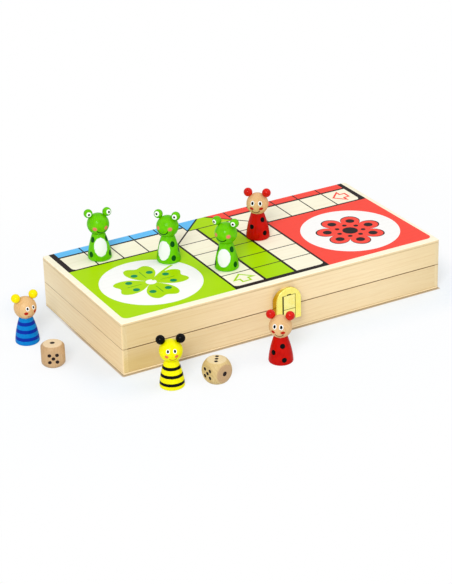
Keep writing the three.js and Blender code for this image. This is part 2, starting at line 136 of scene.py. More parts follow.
class Bench:
    """Adds nodes to one node tree, column by column, and returns their outputs as fields."""

    def __init__(self, tree):
        self.tree = tree

    def node(self, kind, inputs=(), **settings):
        """A new node with its settings. A field given as an input is linked, a value is set."""
        made = self.tree.nodes.new(kind)
        for key, value in settings.items():
            setattr(made, key, value)
        column, row = divmod(len(self.tree.nodes), ROWS)
        made.location = (COLUMN_STEP * column - 1200, 700 - ROW_STEP * row)
        for key, value in dict(inputs).items():
            if isinstance(value, Field):
                self.tree.links.new(value.socket, made.inputs[key])
            else:
                made.inputs[key].default_value = value
        return made

    def field(self, made, output=0):
        """One output of a node, by its number or its name."""
        return Field(self, made.outputs[output])

    def math(self, operation, *values):
        """A Math node: one number worked out from one, two or three."""
        return self.field(self.node("ShaderNodeMath", enumerate(values), operation=operation))

    def vector(self, operation, *values, output="Vector"):
        """A Vector Math node, which works on all three axes at once."""
        made = self.node("ShaderNodeVectorMath", enumerate(values), operation=operation)
        return self.field(made, output)

    def split(self, vector):
        """The x, y and z of a vector, each as a field of its own."""
        made = self.node("ShaderNodeSeparateXYZ", {0: vector})
        return [self.field(made, axis) for axis in range(3)]

    def join(self, x, y, z):
        """The vector (x, y, z)."""
        return self.field(self.node("ShaderNodeCombineXYZ", enumerate((x, y, z))))

    def noise(self, vector, scale=1.0, detail=2.0, roughness=0.5):
        """Smooth noise about 0.5. A larger scale makes it finer, and detail adds finer waves."""
        inputs = {"Vector": vector, "Scale": scale, "Detail": detail, "Roughness": roughness}
        return self.field(self.node("ShaderNodeTexNoise", inputs))

    def fade(self, value, start, end):
        """0 at start, 1 at end, and a smooth slope between them."""
        inputs = {"Value": value, "From Min": start, "From Max": end}
        return self.field(self.node("ShaderNodeMapRange", inputs, interpolation_type="SMOOTHSTEP"))

    def mix(self, mask, under, over):
        """The colour over where the mask is 1, and the colour under where it is 0."""
        inputs = {MIX_MASK: mask, MIX_UNDER: under, MIX_OVER: over}
        return self.field(self.node("ShaderNodeMix", inputs, data_type="RGBA"), MIX_COLOUR)

    def length(self, x, y, z=0.0):
        """How long the arrow (x, y, z) is."""
        return self.vector("LENGTH", self.join(x, y, z), output="Value")

    def times(self, tone, factors):
        """A colour with its red, green and blue each multiplied by a factor."""
        return self.vector("MULTIPLY", tone, factors)

    def group(self, group, **values):
        """Places a node group. Its inputs are named as the sockets are, with _ for a space."""
        inputs = {key.replace("_", " "): value for key, value in values.items()}
        made = self.node("ShaderNodeGroup", inputs, node_tree=group)
        return {socket.name: Field(self, socket) for socket in made.outputs}


print("the bench can make:", [name for name in vars(Bench) if not name.startswith("_")])

# %% [markdown]
# A node group is a pattern that is built once and placed in many materials with other values. Its
# inputs and outputs have names, as a function's arguments have. Groups put out only colours, masks
# and values; the shader itself stays in each material. Colours are written as a screen shows them,
# 0 to 255, and turned into the linear values that light is worked out in.

# %% Colours and groups
KINDS = {"Color": "NodeSocketColor", "Float": "NodeSocketFloat", "Vector": "NodeSocketVector"}


def colour(red, green, blue):
    """The linear values of a screen's colour, by the curve of the sRGB standard."""
    screen = np.array([red, green, blue]) / 255
    linear = np.where(screen <= 0.04045, screen / 12.92, ((screen + 0.055) / 1.055) ** 2.4)
    return (*linear.tolist(), 1.0)


def new_group(name, inputs, outputs, build):
    """A node group with named sockets. build turns the bench and the inputs into the outputs."""
    group = bpy.data.node_groups.new(name, "ShaderNodeTree")
    for label, (kind, default) in inputs.items():
        socket = group.interface.new_socket(name=label, in_out="INPUT", socket_type=KINDS[kind])
        if default is not None:
            socket.default_value = default
    for label, kind in outputs.items():
        group.interface.new_socket(name=label, in_out="OUTPUT", socket_type=KINDS[kind])
    bench = Bench(group)
    start, end = group.nodes.new("NodeGroupInput"), group.nodes.new("NodeGroupOutput")
    results = build(bench, {label: Field(bench, start.outputs[label]) for label in inputs})
    for label, field in results.items():
        group.links.new(field.socket, end.inputs[label])
    columns = len(group.nodes) // ROWS
    start.location, end.location = (-1500, 0), (COLUMN_STEP * columns - 900, 0)
    print("group", name, "has", len(group.nodes), "nodes")
    return group


print("white in linear values:", colour(255, 255, 255))

# %% [markdown]
# Every finish here is one Principled shader, fed by fields for its colour, its roughness and a
# height. The height becomes a slight bump: it tilts the light on grain and brush marks, which are
# too fine to be geometry. Patterns are read on Object coordinates, which belong to the piece, so
# they stay on it when the lid opens or a pawn is lifted.

# %% Materials
BUMP_STRENGTH, BUMP_DEPTH = 0.5, 0.1 * MM


def new_material(name, build, **settings):
    """A material with one Principled shader. build returns the fields for its sockets by name."""
    material = bpy.data.materials.new(name)
    material.use_nodes = True
    tree = material.node_tree
    shader = tree.nodes["Principled BSDF"]
    for key, value in settings.items():
        shader.inputs[key.replace("_", " ")].default_value = value
    bench = Bench(tree)
    for key, field in build(bench).items():
        key = "Base Color" if key == "Color" else key
        if key == "Height":
            inputs = {"Height": field, "Strength": BUMP_STRENGTH, "Distance": BUMP_DEPTH}
            field, key = bench.field(bench.node("ShaderNodeBump", inputs)), "Normal"
        tree.links.new(field.socket, shader.inputs[key])
    columns = len(tree.nodes) // ROWS
    shader.location = (COLUMN_STEP * columns - 800, 300)
    tree.nodes["Material Output"].location = (COLUMN_STEP * columns - 450, 300)
    return material


def here(bench):
    """Where a point of the surface is, in millimetres, in the model's frame."""
    made = bench.node("ShaderNodeTexCoord")
    return bench.vector("MULTIPLY", bench.field(made, "Object"), (1 / MM, 1 / MM, 1 / MM))


print("a height of 1 is a bump of", round(BUMP_DEPTH / MM, 2), "mm, at strength", BUMP_STRENGTH)

# %% [markdown]
# ## Wood
# The box is pale softwood, sanded and lacquered. Seen from a step away it shows faint streaks along
# the board, with thin darker lines where each year's growth ended, and a fine fibre that catches
# the light. All of it is long along the grain and narrow across it, so the group squeezes the
# point's place along the grain before it reads any noise. Sawn ends show rings and pores instead.

# %% Wood groups
def build_long_grain(b, g):
    """Growth lines: a sine of the place across the grain, bent by a slow noise and sharpened."""
    along, across, depth = b.split(g["Vector"])
    drift = b.noise(b.join(along * 0.006, across * 0.07, depth * 0.07), detail=3)
    bent = across + depth * 0.4 + drift * 9
    lines = b.math("SINE", bent * TURN / g["Ring width"]) * 0.5 + 0.5
    late = (lines ** 5) * b.fade(drift, 0.35, 0.6)
    fibre = b.noise(b.join(along * 0.07, across * 2.2, depth * 2.2), detail=4, roughness=0.6)
    patch = b.noise(b.join(along * 0.012, across * 0.16, depth * 0.16), detail=1)
    tone = late * 0.45 + (fibre - 0.5) * 1.6 + (patch - 0.5) * 0.6 - 0.1
    return {
        "Color": b.mix(b.fade(tone * g["Figure"] + 0.5, 0.0, 1.0), g["Pale"], g["Dark"]),
        "Roughness": fibre * 0.25 + 0.36,
        "Height": fibre * 0.7 + late * 0.3,
    }


def build_end_grain(b, g):
    """Sawn ends: arcs about a far-off heart of the tree, with pores as small dark dots."""
    across, depth, _ = b.split(b.vector("SUBTRACT", g["Vector"], g["Heart"]))
    bent = b.length(across, depth) + b.noise(g["Vector"], 0.12) * 4
    arcs = (b.math("SINE", bent * TURN / g["Ring width"]) * 0.5 + 0.5) ** 3
    pores = b.fade(b.noise(g["Vector"], 3.2, 2.0), 0.5, 0.75)
    return {
        "Color": b.mix(b.fade(arcs * 0.45 + pores * 0.7, 0.0, 1.3), g["Pale"], g["Dark"]),
        "Roughness": pores * 0.2 + 0.5,
        "Height": 1.0 - pores,
    }


PINE_PALE, PINE_DARK = colour(252, 230, 188), colour(238, 208, 158)
wood_inputs = {
    "Vector": ("Vector", None), "Pale": ("Color", PINE_PALE), "Dark": ("Color", PINE_DARK),
    "Ring width": ("Float", 3.4), "Figure": ("Float", 1.0),
}
FINISH = {"Color": "Color", "Roughness": "Float", "Height": "Float"}
long_grain = new_group("Long grain", wood_inputs, FINISH, build_long_grain)
end_inputs = {key: wood_inputs[key] for key in ("Vector", "Pale", "Dark", "Ring width")}
end_inputs["Heart"] = ("Vector", (-35, -22, 0))
end_grain = new_group("End grain", end_inputs, FINISH, build_end_grain)

# %% [markdown]
# ## The boards of the box
# The four sides of a tray are plain boards. The side boards run the full depth, so their sawn ends
# make the narrow stripe at each end of the front. Each board is another piece of wood: its grain is
# read from another place and its tone is a touch lighter or darker. A thin dark line of painted
# shade runs along the seam of the trays, where the gap between them lies in shadow, and a fainter
# brown line runs where the printed panel is glued on. Both are masks of the distance from that
# line, so no image is drawn for them.

# %% Painted seam shade and browner ends on the boards
seam = (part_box("lower_front_board")[1].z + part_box("upper_front_board")[0].z) / 2
box_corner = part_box("lower_board_panel")[1] / MM
SEAM_SHADE_BROWN, JOINT_BROWN = colour(118, 76, 28), colour(200, 168, 112)
FRONT_SEAM, SIDE_SEAM, JOINT_SHARE = 0.85, 0.35, 0.55
END_TINT, FOOT_TINT = (0.80, 0.765, 0.64), (0.92, 0.875, 0.7)
print("seam at", round(seam / MM, 2), "mm, box corner at", [round(v, 1) for v in box_corner])


def seam_shade_and_joint_lines(b, x, y, z, tone, seam_share, joint):
    """Paints shade in a thin dark line outside at the trays' seam, where the gap lies in shadow,
    and a fainter brown line at the panel's joint.
    """
    inwards = (box_corner.x - abs(x)) & (box_corner.y - abs(y))
    # Painted shade: a thin dark line along the seam, where the gap between the trays lies in
    # shadow.
    gap_shade = b.fade(abs(z - seam / MM), 0.52, 0.27) * b.fade(inwards, 0.8, 0.4)
    tone = b.mix(gap_shade * seam_share, tone, SEAM_SHADE_BROWN)
    return b.mix(b.fade(abs(z - joint / MM), 0.75, 0.3) * JOINT_SHARE, tone, JOINT_BROWN)


def browned(b, tone, x, z):
    """The front boards are a shade browner towards their ends, and the lower one has a deeper
    patch at its left foot."""
    at_ends = b.fade(x, -15.0, -140.0) * 0.78 + b.fade(x, 70.0, 150.0) * 0.5
    tone = b.mix(at_ends, tone, b.times(tone, END_TINT))
    at_foot = b.fade(x, -75.0, -125.0) * b.fade(z, 21.0, 9.0)
    return b.mix(at_foot, tone, b.times(tone, FOOT_TINT))


# %% [markdown]
# A board that runs along X shows long grain in front, and one that runs along Y shows long grain on
# its side and sawn ends in front and behind. One recipe serves both: it swaps the axes, and where
# the ends show it blends the two wood groups by a mask of the distance from the end.

# %% Board materials
BOARD_FIGURE, SAWN_SKIN = 0.52, 0.35
BACK_LIGHT_TINT, FRONT_SHADE_TINT = (1.0, 1.05, 1.12), (0.97, 0.93, 0.86)


def blend_values(mask, under, over):
    """The value over where the mask is 1, and the value under where it is 0."""
    return under * (1.0 - mask) + over * mask


def board_material(name, lengthwise, offset, joint, pale, dark):
    """Pine whose grain runs along X or along Y. A board along Y shows sawn wood at both ends."""
    def build(b):
        """Long grain, sawn wood over it at the ends of a board along Y, painted light along a side
        board, and painted seam shade and the joint line over all.
        """
        x, y, z = b.split(here(b))
        along, depth = (x, y) if lengthwise == "x" else (y, x)
        grain = b.join(along + offset, z + offset * 0.37, depth)
        long = b.group(long_grain, Vector=grain, Pale=pale, Dark=dark, Figure=BOARD_FIGURE)
        if lengthwise == "x":
            tone = seam_shade_and_joint_lines(b, x, y, z, browned(b, long["Color"], x, z), FRONT_SEAM, joint)
            return {**long, "Color": tone}
        place = b.join(x + offset, z, 0.0)
        sawn = b.group(end_grain, Vector=place, Pale=pale, Dark=dark, Ring_width=2.2)
        at_end = abs(y) > box_corner.y - SAWN_SKIN
        both = {key: blend_values(at_end, long[key], sawn[key]) for key in ("Roughness", "Height")}
        # Painted light: a side board is painted paler towards the back and browner towards the
        # front, as light falls on the box's side.
        behind, ahead = b.times(long["Color"], BACK_LIGHT_TINT), b.times(long["Color"], FRONT_SHADE_TINT)
        side_light_tone = b.mix(b.fade(y, box_corner.y, -box_corner.y), behind, ahead)
        tone = b.mix(at_end, side_light_tone, browned(b, sawn["Color"], x, z))
        return {**both, "Color": seam_shade_and_joint_lines(b, x, y, z, tone, SIDE_SEAM, joint)}

    return new_material(name, build, Specular_IOR_Level=0.12)


def toned(shade, base):
    """A colour made darker or lighter by a factor, and a little redder as it darkens."""
    powers = (1, 1.15, 1.4)
    return (*(min(1, value * shade ** power) for value, power in zip(base, powers)), 1)


print("pine, a tenth darker:", [round(value, 3) for value in toned(0.9, PINE_PALE)])

# %% [markdown]
# A real board is never quite square at its edges: sandpaper takes the sharpness off. The eight
# boards are copies of the solids whose loose triangles are joined again. Only the edges at the
# rims, where the trays meet, get a fine bevel, chosen by a weight on each edge, so that the seam
# catches a soft line. The copy stands for its solid, which is then left out of the picture.

# %% Finished copies of solids
MERGE, FLAT, SHARP = 0.002 * MM, math.radians(1), math.radians(50)
ROUND_TO = 33


def finish_with(piece, material):
    """Gives every material slot of a piece the same material."""
    if not piece.material_slots:
        piece.data.materials.append(material)
    for slot in piece.material_slots:
        slot.link = "OBJECT"
        slot.material = material


def link(name, mesh, body, material):
    """Puts a finished mesh into the scene on its body, with its finish."""
    piece = bpy.data.objects.new(name, mesh)
    bpy.context.scene.collection.objects.link(piece)
    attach(piece, body)
    finish_with(piece, material)
    return piece


def merged_copy(node):
    """A bmesh of a solid with its loose triangles joined and its flat faces made whole."""
    bm = bmesh.new()
    bm.from_mesh(nodes[node].data)
    bmesh.ops.remove_doubles(bm, verts=bm.verts, dist=MERGE)
    bmesh.ops.dissolve_limit(bm, angle_limit=FLAT, verts=bm.verts, edges=bm.edges)
    return bm


def eased(node, body, material, width, chosen):
    """A copy that stands for a solid, with a bevel on the sharp edges whose ends chosen accepts."""
    bm = merged_copy(node)
    weight = bm.edges.layers.float.new("bevel_weight_edge")
    for edge in bm.edges:
        sharp = len(edge.link_faces) == 2 and edge.calc_face_angle() > SHARP
        if sharp and chosen(*(vertex.co for vertex in edge.verts)):
            edge[weight] = 1.0
    mesh = bpy.data.meshes.new(node + "_finished")
    bm.to_mesh(mesh)
    bm.free()
    mesh.shade_smooth()
    mesh.set_sharp_from_angle(angle=math.radians(ROUND_TO))
    piece = link(node + "_finished", mesh, body, material)
    bevel = piece.modifiers.new("eased edges", "BEVEL")
    bevel.limit_method = "WEIGHT"
    bevel.width, bevel.segments, bevel.harden_normals = width, 3, True
    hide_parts(node)
    return piece


joined = merged_copy("lower_front_board")
print("a board of", len(nodes["lower_front_board"].data.polygons), "loose triangles has",
      len(joined.faces), "faces when they are joined")
joined.free()

# %% The eight boards
RIM_EASE, RIM_REACH = 0.2 * MM, 0.3 * MM
BOARD_TONES = {
    "lower_front_board": ("x", 31, 0.945), "upper_front_board": ("x", 220, 1.0),
    "lower_back_board": ("x", 470, 1.0), "upper_back_board": ("x", 655, 0.96),
    "lower_left_board": ("y", 90, 0.99), "upper_left_board": ("y", 310, 0.97),
    "lower_right_board": ("y", 520, 0.94), "upper_right_board": ("y", 740, 0.95),
}


def on_rim(*ends):
    """True for an edge that lies at the height of the seam."""
    return all(abs(end.z - seam) < RIM_REACH for end in ends)


for node, (lengthwise, offset, shade) in BOARD_TONES.items():
    upper = node.startswith("upper")
    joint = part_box(node)[1 if upper else 0].z
    pine = board_material("pine " + node, lengthwise, offset, joint, toned(shade, PINE_PALE),
                          toned(shade, PINE_DARK))
    board = eased(node, "lid" if upper else "box_base", pine, RIM_EASE, on_rim)
    board.data.shade_flat()
    board.modifiers["eased edges"].harden_normals = False
print("boards:", len(BOARD_TONES))

# %% [markdown]
# ## The printed board
# Each outer face carries half of a cross-shaped track for four players. The layout is the common
# one: arms three squares wide, a coloured home in each corner, and a centre of four triangles. It
# could be drawn as an image, but an image has a size and a blur. Written as distances it stays
# sharp: `along` is the larger and `across` the smaller distance from the middle, which folds the
# four arms of the cross into one, so that every line of the track is a line in along or in across.

# %% Sizes of the print, in millimetres from the middle of the opened board
PRINT_HALF, PRINT_CORNER = 135.4, 5.0
RIGHT_EDGE_SKEW, RIGHT_EDGE_OUT = 0.0155, 0.6
ARM_HALF, LANE_HALF = 40.3, 13.4
CENTRE_HALF, SQUARE, ARM_END = 21.4, 22.0, 130.85
RIGHT_STEPS_OUT, BACK_STEPS_IN = 0.55, 0.1
THIN_LINE, LANE_LINE, ARM_LINE, ARROW_LINE = 0.56, 1.1, 0.93, 0.8
CELL_CORNER, DISC_PLACE, DISC_RADIUS, DISC_RIM = 5.2, 89.3, 39.75, 2
START_ASIDE, START_OUT, ARROW_SLOPE = 26.5, 120.2, 0.71
INK = colour(38, 30, 30)
CREAM = colour(255, 238, 212)
LIME, CORAL = colour(172, 219, 2), colour(250, 79, 66)
SKY, SUN = colour(104, 194, 250), colour(255, 214, 40)
WHITE = colour(251, 250, 248)
print("print:", 2 * PRINT_HALF, "mm wide, squares of", SQUARE, "mm")


def rounded_square(b, x, y, half, corner):
    """Below 0 inside: how far a point is from the straight sides, and round each corner."""
    dx, dy = abs(x) - (half - corner), abs(y) - (half - corner)
    return b.length(dx | 0.0, dy | 0.0) + ((dx | dy) & 0.0) - corner


def block_arrow(b, x, y):
    """Below 0 inside an arrow that points to -y: a triangle head on a short square shaft."""
    head = (abs(x) * ARROW_SLOPE - (y + 7.2) * ARROW_SLOPE) | (y - 1.0)
    shaft = (abs(x) - 3.5) | (y - 5.8) | (-2.0 - y)
    return head & shaft


# %% [markdown]
# The track is painted as a printer would lay it down, the largest fields first: homes, the bare
# cross, the lanes in the players' colours, then all dark lines at once, the white discs, and last
# the arrows at the starts. Prints are never perfect, so the right edge runs a little askew and the
# squares of two arms are a hair out of step.

# %% The track
def build_track(b, g):
    """The cross with its squares, lanes and centre: masks of along and across, painted in order."""
    x, y, _ = b.split(g["Vector"])
    along, across = abs(x) | abs(y), abs(x) & abs(y)
    wide = abs(x) > abs(y)
    slanted = x - (x > 0.0) * (y * RIGHT_EDGE_SKEW - RIGHT_EDGE_OUT)
    inside = rounded_square(b, slanted, y, PRINT_HALF, PRINT_CORNER) < 0.0
    arm = across < ARM_HALF
    in_centre = along < CENTRE_HALF
    homes = b.mix(x > 0.0, g["Left home"], g["Right home"])
    painted = b.mix(arm, homes, g["Bare"])
    side_lane = b.mix(x > 0.0, g["Left lane"], g["Right lane"])
    lane_colour = b.mix(wide, g["Front lane"], side_lane)
    painted = b.mix((across < LANE_HALF) | in_centre, painted, lane_colour)

    uneven = (x > abs(y)) * RIGHT_STEPS_OUT - (y > abs(x)) * BACK_STEPS_IN
    steps = (along + uneven - CENTRE_HALF) / SQUARE
    nearest = abs(steps - b.math("ROUND", steps)) * SQUARE
    squares = (nearest < THIN_LINE) & arm & (along > CENTRE_HALF - 1) & (along < ARM_END - 5)
    lane_edges = (abs(across - LANE_HALF) < LANE_LINE) & (along > CENTRE_HALF)
    arm_edges = (abs(across - ARM_HALF) < ARM_LINE) & (along > ARM_HALF)
    diagonals = (along - across < 1.0) & (along < ARM_HALF)
    into_x, into_y = ARM_HALF - across, ARM_END - along
    round_off = b.length((CELL_CORNER - into_x) | 0.0, (CELL_CORNER - into_y) | 0.0) > CELL_CORNER
    ends = arm & ((along > ARM_END) | (round_off & (along > ARM_END - CELL_CORNER)))
    lines = squares | lane_edges | arm_edges | diagonals | ends
    painted = b.mix(lines, painted, INK)

    from_disc = b.length(abs(x) - DISC_PLACE, abs(y) - DISC_PLACE)
    painted = b.mix(from_disc < DISC_RADIUS, painted, WHITE)
    left_start = abs(block_arrow(b, x + START_ASIDE, y - START_OUT)) < ARROW_LINE
    painted = b.mix(left_start, painted, g["Left home"])
    right_start = abs(block_arrow(b, y - START_ASIDE, x - START_OUT)) < ARROW_LINE
    painted = b.mix(right_start, painted, g["Right home"])
    return {"Color": painted, "Mask": inside}


track_inputs = {"Vector": ("Vector", None), "Left home": ("Color", LIME),
                "Right home": ("Color", CORAL), "Left lane": ("Color", SKY),
                "Right lane": ("Color", CORAL), "Front lane": ("Color", LIME),
                "Bare": ("Color", CREAM)}
track = new_group("Race track", track_inputs, {"Color": "Color", "Mask": "Float"}, build_track)

# %% [markdown]
# The white discs hold a motif each. A four-leaf clover and a daisy are everybody's: their outlines
# are curves of the angle about the middle, where the radius swings in and out once for each leaf.

# %% The motifs
def polar(b, vector):
    """Distance and angle of a point about the middle."""
    x, y, _ = b.split(vector)
    return b.length(x, y), b.math("ARCTAN2", y, x)


def ring_of_dots(b, radius, angle, count, place, size):
    """Below 0 inside: dots evenly round a circle, the angle folded onto one of them."""
    share = TURN / count
    folded = b.math("WRAP", angle, share / 2, -share / 2)
    x, y = radius * b.math("COSINE", folded), radius * b.math("SINE", folded)
    return b.length(x - place, y) - size


def build_clover(b, g):
    """Four heart-shaped leaves: the radius follows |cos 2a|, with a notch at each tip."""
    radius, angle = polar(b, g["Vector"])
    swing = abs(b.math("COSINE", angle * 2.0))
    leaf_edge = (swing ** 0.45 - (swing ** 10) * 0.22) * 33.0
    leaf = (radius < leaf_edge) & (radius > 4.2)
    vein = leaf & (radius > 8.0) & (radius < 20.0) & (abs(swing - 1.0) * radius < 0.02)
    x, y, _ = b.split(g["Vector"])
    bend = x - y
    stem = (abs(x + y - 0.6 - (bend ** 2) * 0.004) < 1.5) & (bend > 4.0) & (bend < 46.0)
    dots = ring_of_dots(b, radius, angle + math.pi / 8, 8, 17.0, 2.7) < 0.0
    painted = b.mix(leaf | stem, WHITE, g["Leaf"])
    painted = b.mix(vein, painted, g["Line"])
    return {"Color": b.mix(dots & leaf, painted, g["Dots"])}


def build_daisy(b, g):
    """Seven round petals about a round heart, with dots on the petals and a dark outline."""
    radius, angle = polar(b, g["Vector"])
    swing = abs(b.math("COSINE", angle * 3.5 + 0.4))
    petal_edge = (swing ** 0.55) * 12.0 + 16.0
    petal = radius < petal_edge
    rim = petal & (radius > petal_edge - 1.1)
    heart = radius < 6.2
    dots = ring_of_dots(b, radius, angle + 0.114, 7, 18.6, 3.6) < 0.0
    seeds = ring_of_dots(b, radius, angle + 0.56, 7, 10.6, 1.9) < 0.0
    painted = b.mix(petal, WHITE, g["Leaf"])
    painted = b.mix((rim | dots | seeds) & petal, painted, g["Dots"])
    return {"Color": b.mix(heart, painted, g["Line"])}


motif_inputs = {"Vector": ("Vector", None), "Leaf": ("Color", LIME), "Line": ("Color", INK),
                "Dots": ("Color", INK)}
clover = new_group("Clover motif", motif_inputs, {"Color": "Color"}, build_clover)
daisy = new_group("Daisy motif", motif_inputs, {"Color": "Color"}, build_daisy)

# %% [markdown]
# The print goes on the face alone. The edges of the panel stay bare wood, painted darker near the
# foot of the box as shade where the edge turns down to the table. Under the cream the grain still
# shows faintly, because ink on wood is thin. The lower tray has the other half of the board: the
# same drawing turned half round, in the colours of the other two players.

# %% Panel materials
PANEL_PALE, PANEL_DARK = colour(255, 252, 230), colour(250, 240, 212)
FOOT_SHADE_BROWN, FOOT_SHADE_SHARE = colour(150, 122, 84), 0.7
MIDDLE_ASIDE, MIDDLE_BEHIND = 0.59, 72.2
PRINT_DEPTH, BRIGHTEST, WORN_SHARE = 0.3, 1.03, 0.09


def panel_material(name, face, turned_round, colours, motifs):
    """face is the height of the printed face. colours are home, home, lane, lane, front lane."""
    def build(b):
        """Wood, the track and a motif in each disc over it on the face, and bare edges with painted
        shade at the foot.
        """
        x, y, z = b.split(here(b))
        edge = b.group(long_grain, Vector=b.join(x, z * 3.0, y), Pale=PINE_PALE, Dark=PINE_DARK)
        # Painted shade: the bare edge darkens towards the foot of the box, where it turns down to
        # the table.
        shaded_edge = b.mix(b.fade(z, 1.6, 0.3) * FOOT_SHADE_SHARE, edge["Color"], FOOT_SHADE_BROWN)
        wood = b.group(long_grain, Vector=b.join(x + 800.0, y, z), Pale=PANEL_PALE, Dark=PANEL_DARK,
                       Ring_width=6.0, Figure=0.45)
        plan = b.join(x * (-1.0 if turned_round else 1.0) - MIDDLE_ASIDE, MIDDLE_BEHIND - y, 0.0)
        home_left, home_right, lane_left, lane_right, lane_front = colours
        drawn = b.group(track, Vector=plan, Left_home=home_left, Right_home=home_right,
                        Left_lane=lane_left, Right_lane=lane_right, Front_lane=lane_front,
                        Bare=wood["Color"])
        ink = drawn["Color"]
        for side, (motif, shades) in zip((-1, 1), motifs):
            centre = b.vector("SUBTRACT", plan, (side * DISC_PLACE, DISC_PLACE, 0))
            reach = b.vector("LENGTH", centre, output="Value")
            leaf, line, dots = shades
            picture = b.group(motif, Vector=centre, Leaf=leaf, Line=line, Dots=dots)
            ink = b.mix(reach < DISC_RADIUS - DISC_RIM, ink, picture["Color"])
        worn = BRIGHTEST - wood["Height"] * WORN_SHARE
        ink = b.times(ink, b.join(worn, worn, worn))
        on_face = abs(z - face) < PRINT_DEPTH
        bare = b.mix(on_face, shaded_edge, wood["Color"])
        printed = drawn["Mask"] & on_face
        return {
            "Color": b.mix(printed, bare, ink),
            "Roughness": wood["Roughness"] * (1.0 - printed * 0.25),
            "Height": wood["Height"] * (1.0 - printed * 0.6),
        }

    return new_material(name, build, Specular_IOR_Level=0.03)


GREEN_MOTIF = (clover, (LIME, colour(96, 170, 20), colour(10, 140, 84)))
RED_MOTIF = (daisy, (CORAL, INK, INK))
YELLOW_MOTIF = (daisy, (SUN, colour(150, 80, 20), colour(40, 36, 30)))
BLUE_MOTIF = (clover, (SKY, colour(30, 90, 180), colour(20, 60, 150)))
top_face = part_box("upper_board_panel")[1].z / MM
lid_print = panel_material("lid print", top_face, False, (LIME, CORAL, SKY, CORAL, LIME),
                           (GREEN_MOTIF, RED_MOTIF))
base_print = panel_material("base print", 0.0, True, (SUN, SKY, CORAL, SKY, SUN),
                            (YELLOW_MOTIF, BLUE_MOTIF))
print("printed faces at z =", round(top_face, 2), "and 0 mm")

# %% [markdown]
# The panels are thin plywood with rounded corners and an edge that is sanded round on the outside.
# A bevel on the faceted solid would keep its facets, so the panel is lofted: its outline is carried
# up a short profile, square at the glue and a quarter circle at the face. The loft is a helper of
# its own, because the clasp is made in the same way.

# %% Outlines and lofts
PANEL_CORNER, PANEL_ROUND = 1.5 * MM, 0.7 * MM


def outline_of(node, corner, steps=10):
    """Points round a rectangle with rounded corners, and the outward direction at each."""
    low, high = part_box(node)
    centres = [(high.x, low.y, -1, 1, -0.5), (high.x, high.y, -1, -1, 0),
               (low.x, high.y, 1, -1, 0.5), (low.x, low.y, 1, 1, 1)]
    points, ways = [], []
    for x, y, inward_x, inward_y, start in centres:
        angle = np.linspace(start, start + 0.5, steps) * math.pi
        way = np.stack([np.cos(angle), np.sin(angle)], -1)
        middle = np.array([x + inward_x * corner, y + inward_y * corner])
        points.append(middle + corner * way)
        ways.append(way)
    return np.concatenate(points), np.concatenate(ways)


def quads_round(index):
    """Four-sided faces between neighbouring rows of point numbers, each row closed on itself."""
    after = np.roll(index, -1, 1)
    return np.stack([index[:-1], after[:-1], after[1:], index[1:]], -1).reshape(-1, 4).tolist()


def closed_loft(name, rings):
    """A closed skin over rings of equal count: quads between rings, a flat face at each end."""
    count, around = rings.shape[:2]
    index = np.arange(count * around).reshape(count, around)
    faces = quads_round(index) + [index[0][::-1].tolist(), index[-1].tolist()]
    mesh = bpy.data.meshes.new(name)
    mesh.from_pydata(rings.reshape(-1, 3).tolist(), [], faces)
    smooth = np.ones(len(faces), bool)
    smooth[-2:] = False
    mesh.polygons.foreach_set("use_smooth", smooth)
    return mesh


print("points round a panel:", len(outline_of("upper_board_panel", PANEL_CORNER)[0]))

# %% The two panels
def panel(node, body, face_up, material):
    """The outline carried up a profile: inset r (1 - cos a) at height r sin a, a from 0 to 90."""
    low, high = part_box(node)
    points, ways = outline_of(node, PANEL_CORNER)
    angle = np.linspace(0, math.pi / 2, 7)
    thick = high.z - low.z
    inset = np.concatenate([[0], PANEL_ROUND * (1 - np.cos(angle))])
    height = np.concatenate([[0], thick - PANEL_ROUND + PANEL_ROUND * np.sin(angle)])
    if not face_up:
        inset, height = inset[::-1], thick - height[::-1]
    ring = points[None] - inset[:, None, None] * ways[None]
    level = np.broadcast_to((low.z + height)[:, None, None], ring.shape[:2] + (1,))
    mesh = closed_loft(node + "_printed", np.concatenate([ring, level], -1))
    piece = link(node + "_printed", mesh, body, material)
    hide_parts(node)
    print(piece.name, "has", len(mesh.polygons), "faces")


panel("upper_board_panel", "lid", True, lid_print)
panel("lower_board_panel", "box_base", False, base_print)

# %% [markdown]
# ## Brass
# The clasp is pressed from thin polished brass. Its face mirrors the bright room and looks pale
# yellow, while its rim is turned away and is painted a deeper gold as painted shade, less so where
# it turns up to the light. Polishing leaves fine scratches that run one way, so the roughness is
# read from a stretched noise. The blocks in the loop's window are painted nearly black at their
# left edge and just behind their face, as painted shade where no light gets in.

# %% Rubbed metal
def build_rubbed(b, g):
    """Fine scratches along Z, and soft patches where fingers have dulled the metal."""
    x, y, z = b.split(g["Vector"])
    scratch = b.noise(b.join(x * 9, y * 9, z * 0.5), detail=3)
    patch = b.noise(g["Vector"], 0.35, 2.0)
    return {
        "Roughness": scratch * 0.10 + b.fade(patch, 0.4, 0.75) * 0.10 + 0.16,
        "Height": scratch,
        "Dullness": b.fade(patch, 0.35, 0.85),
    }


rubbed = new_group("Rubbed metal", {"Vector": ("Vector", None)},
                   {"Roughness": "Float", "Height": "Float", "Dullness": "Float"}, build_rubbed)

# %% Brass of the loop, the blocks and the hinges
BRASS_BRIGHT, BRASS_DULL = colour(255, 244, 130), colour(255, 236, 112)
BLOCK_BRIGHT, BLOCK_DULL = colour(255, 246, 156), colour(254, 237, 126)
RIM_SHADE_GOLD = colour(204, 170, 0)
BLOCK_SHADE_BROWN, HINGE_WORN = colour(36, 18, 3), colour(238, 208, 78)
loop_low, loop_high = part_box("clasp_loop")
loop_middle, loop_half = middle_of("clasp_loop")[0], (loop_high.x - loop_low.x) / 2
arch_centre = loop_high.z - loop_half
clasp_face, arch_height = loop_low.y / MM, arch_centre / MM
BLOCK_HALF, BLOCK_ASIDE, BLOCK_EDGE = 5.3 * MM, 0.36 * MM, 0.6
block_left = (loop_middle - BLOCK_HALF + BLOCK_ASIDE) / MM


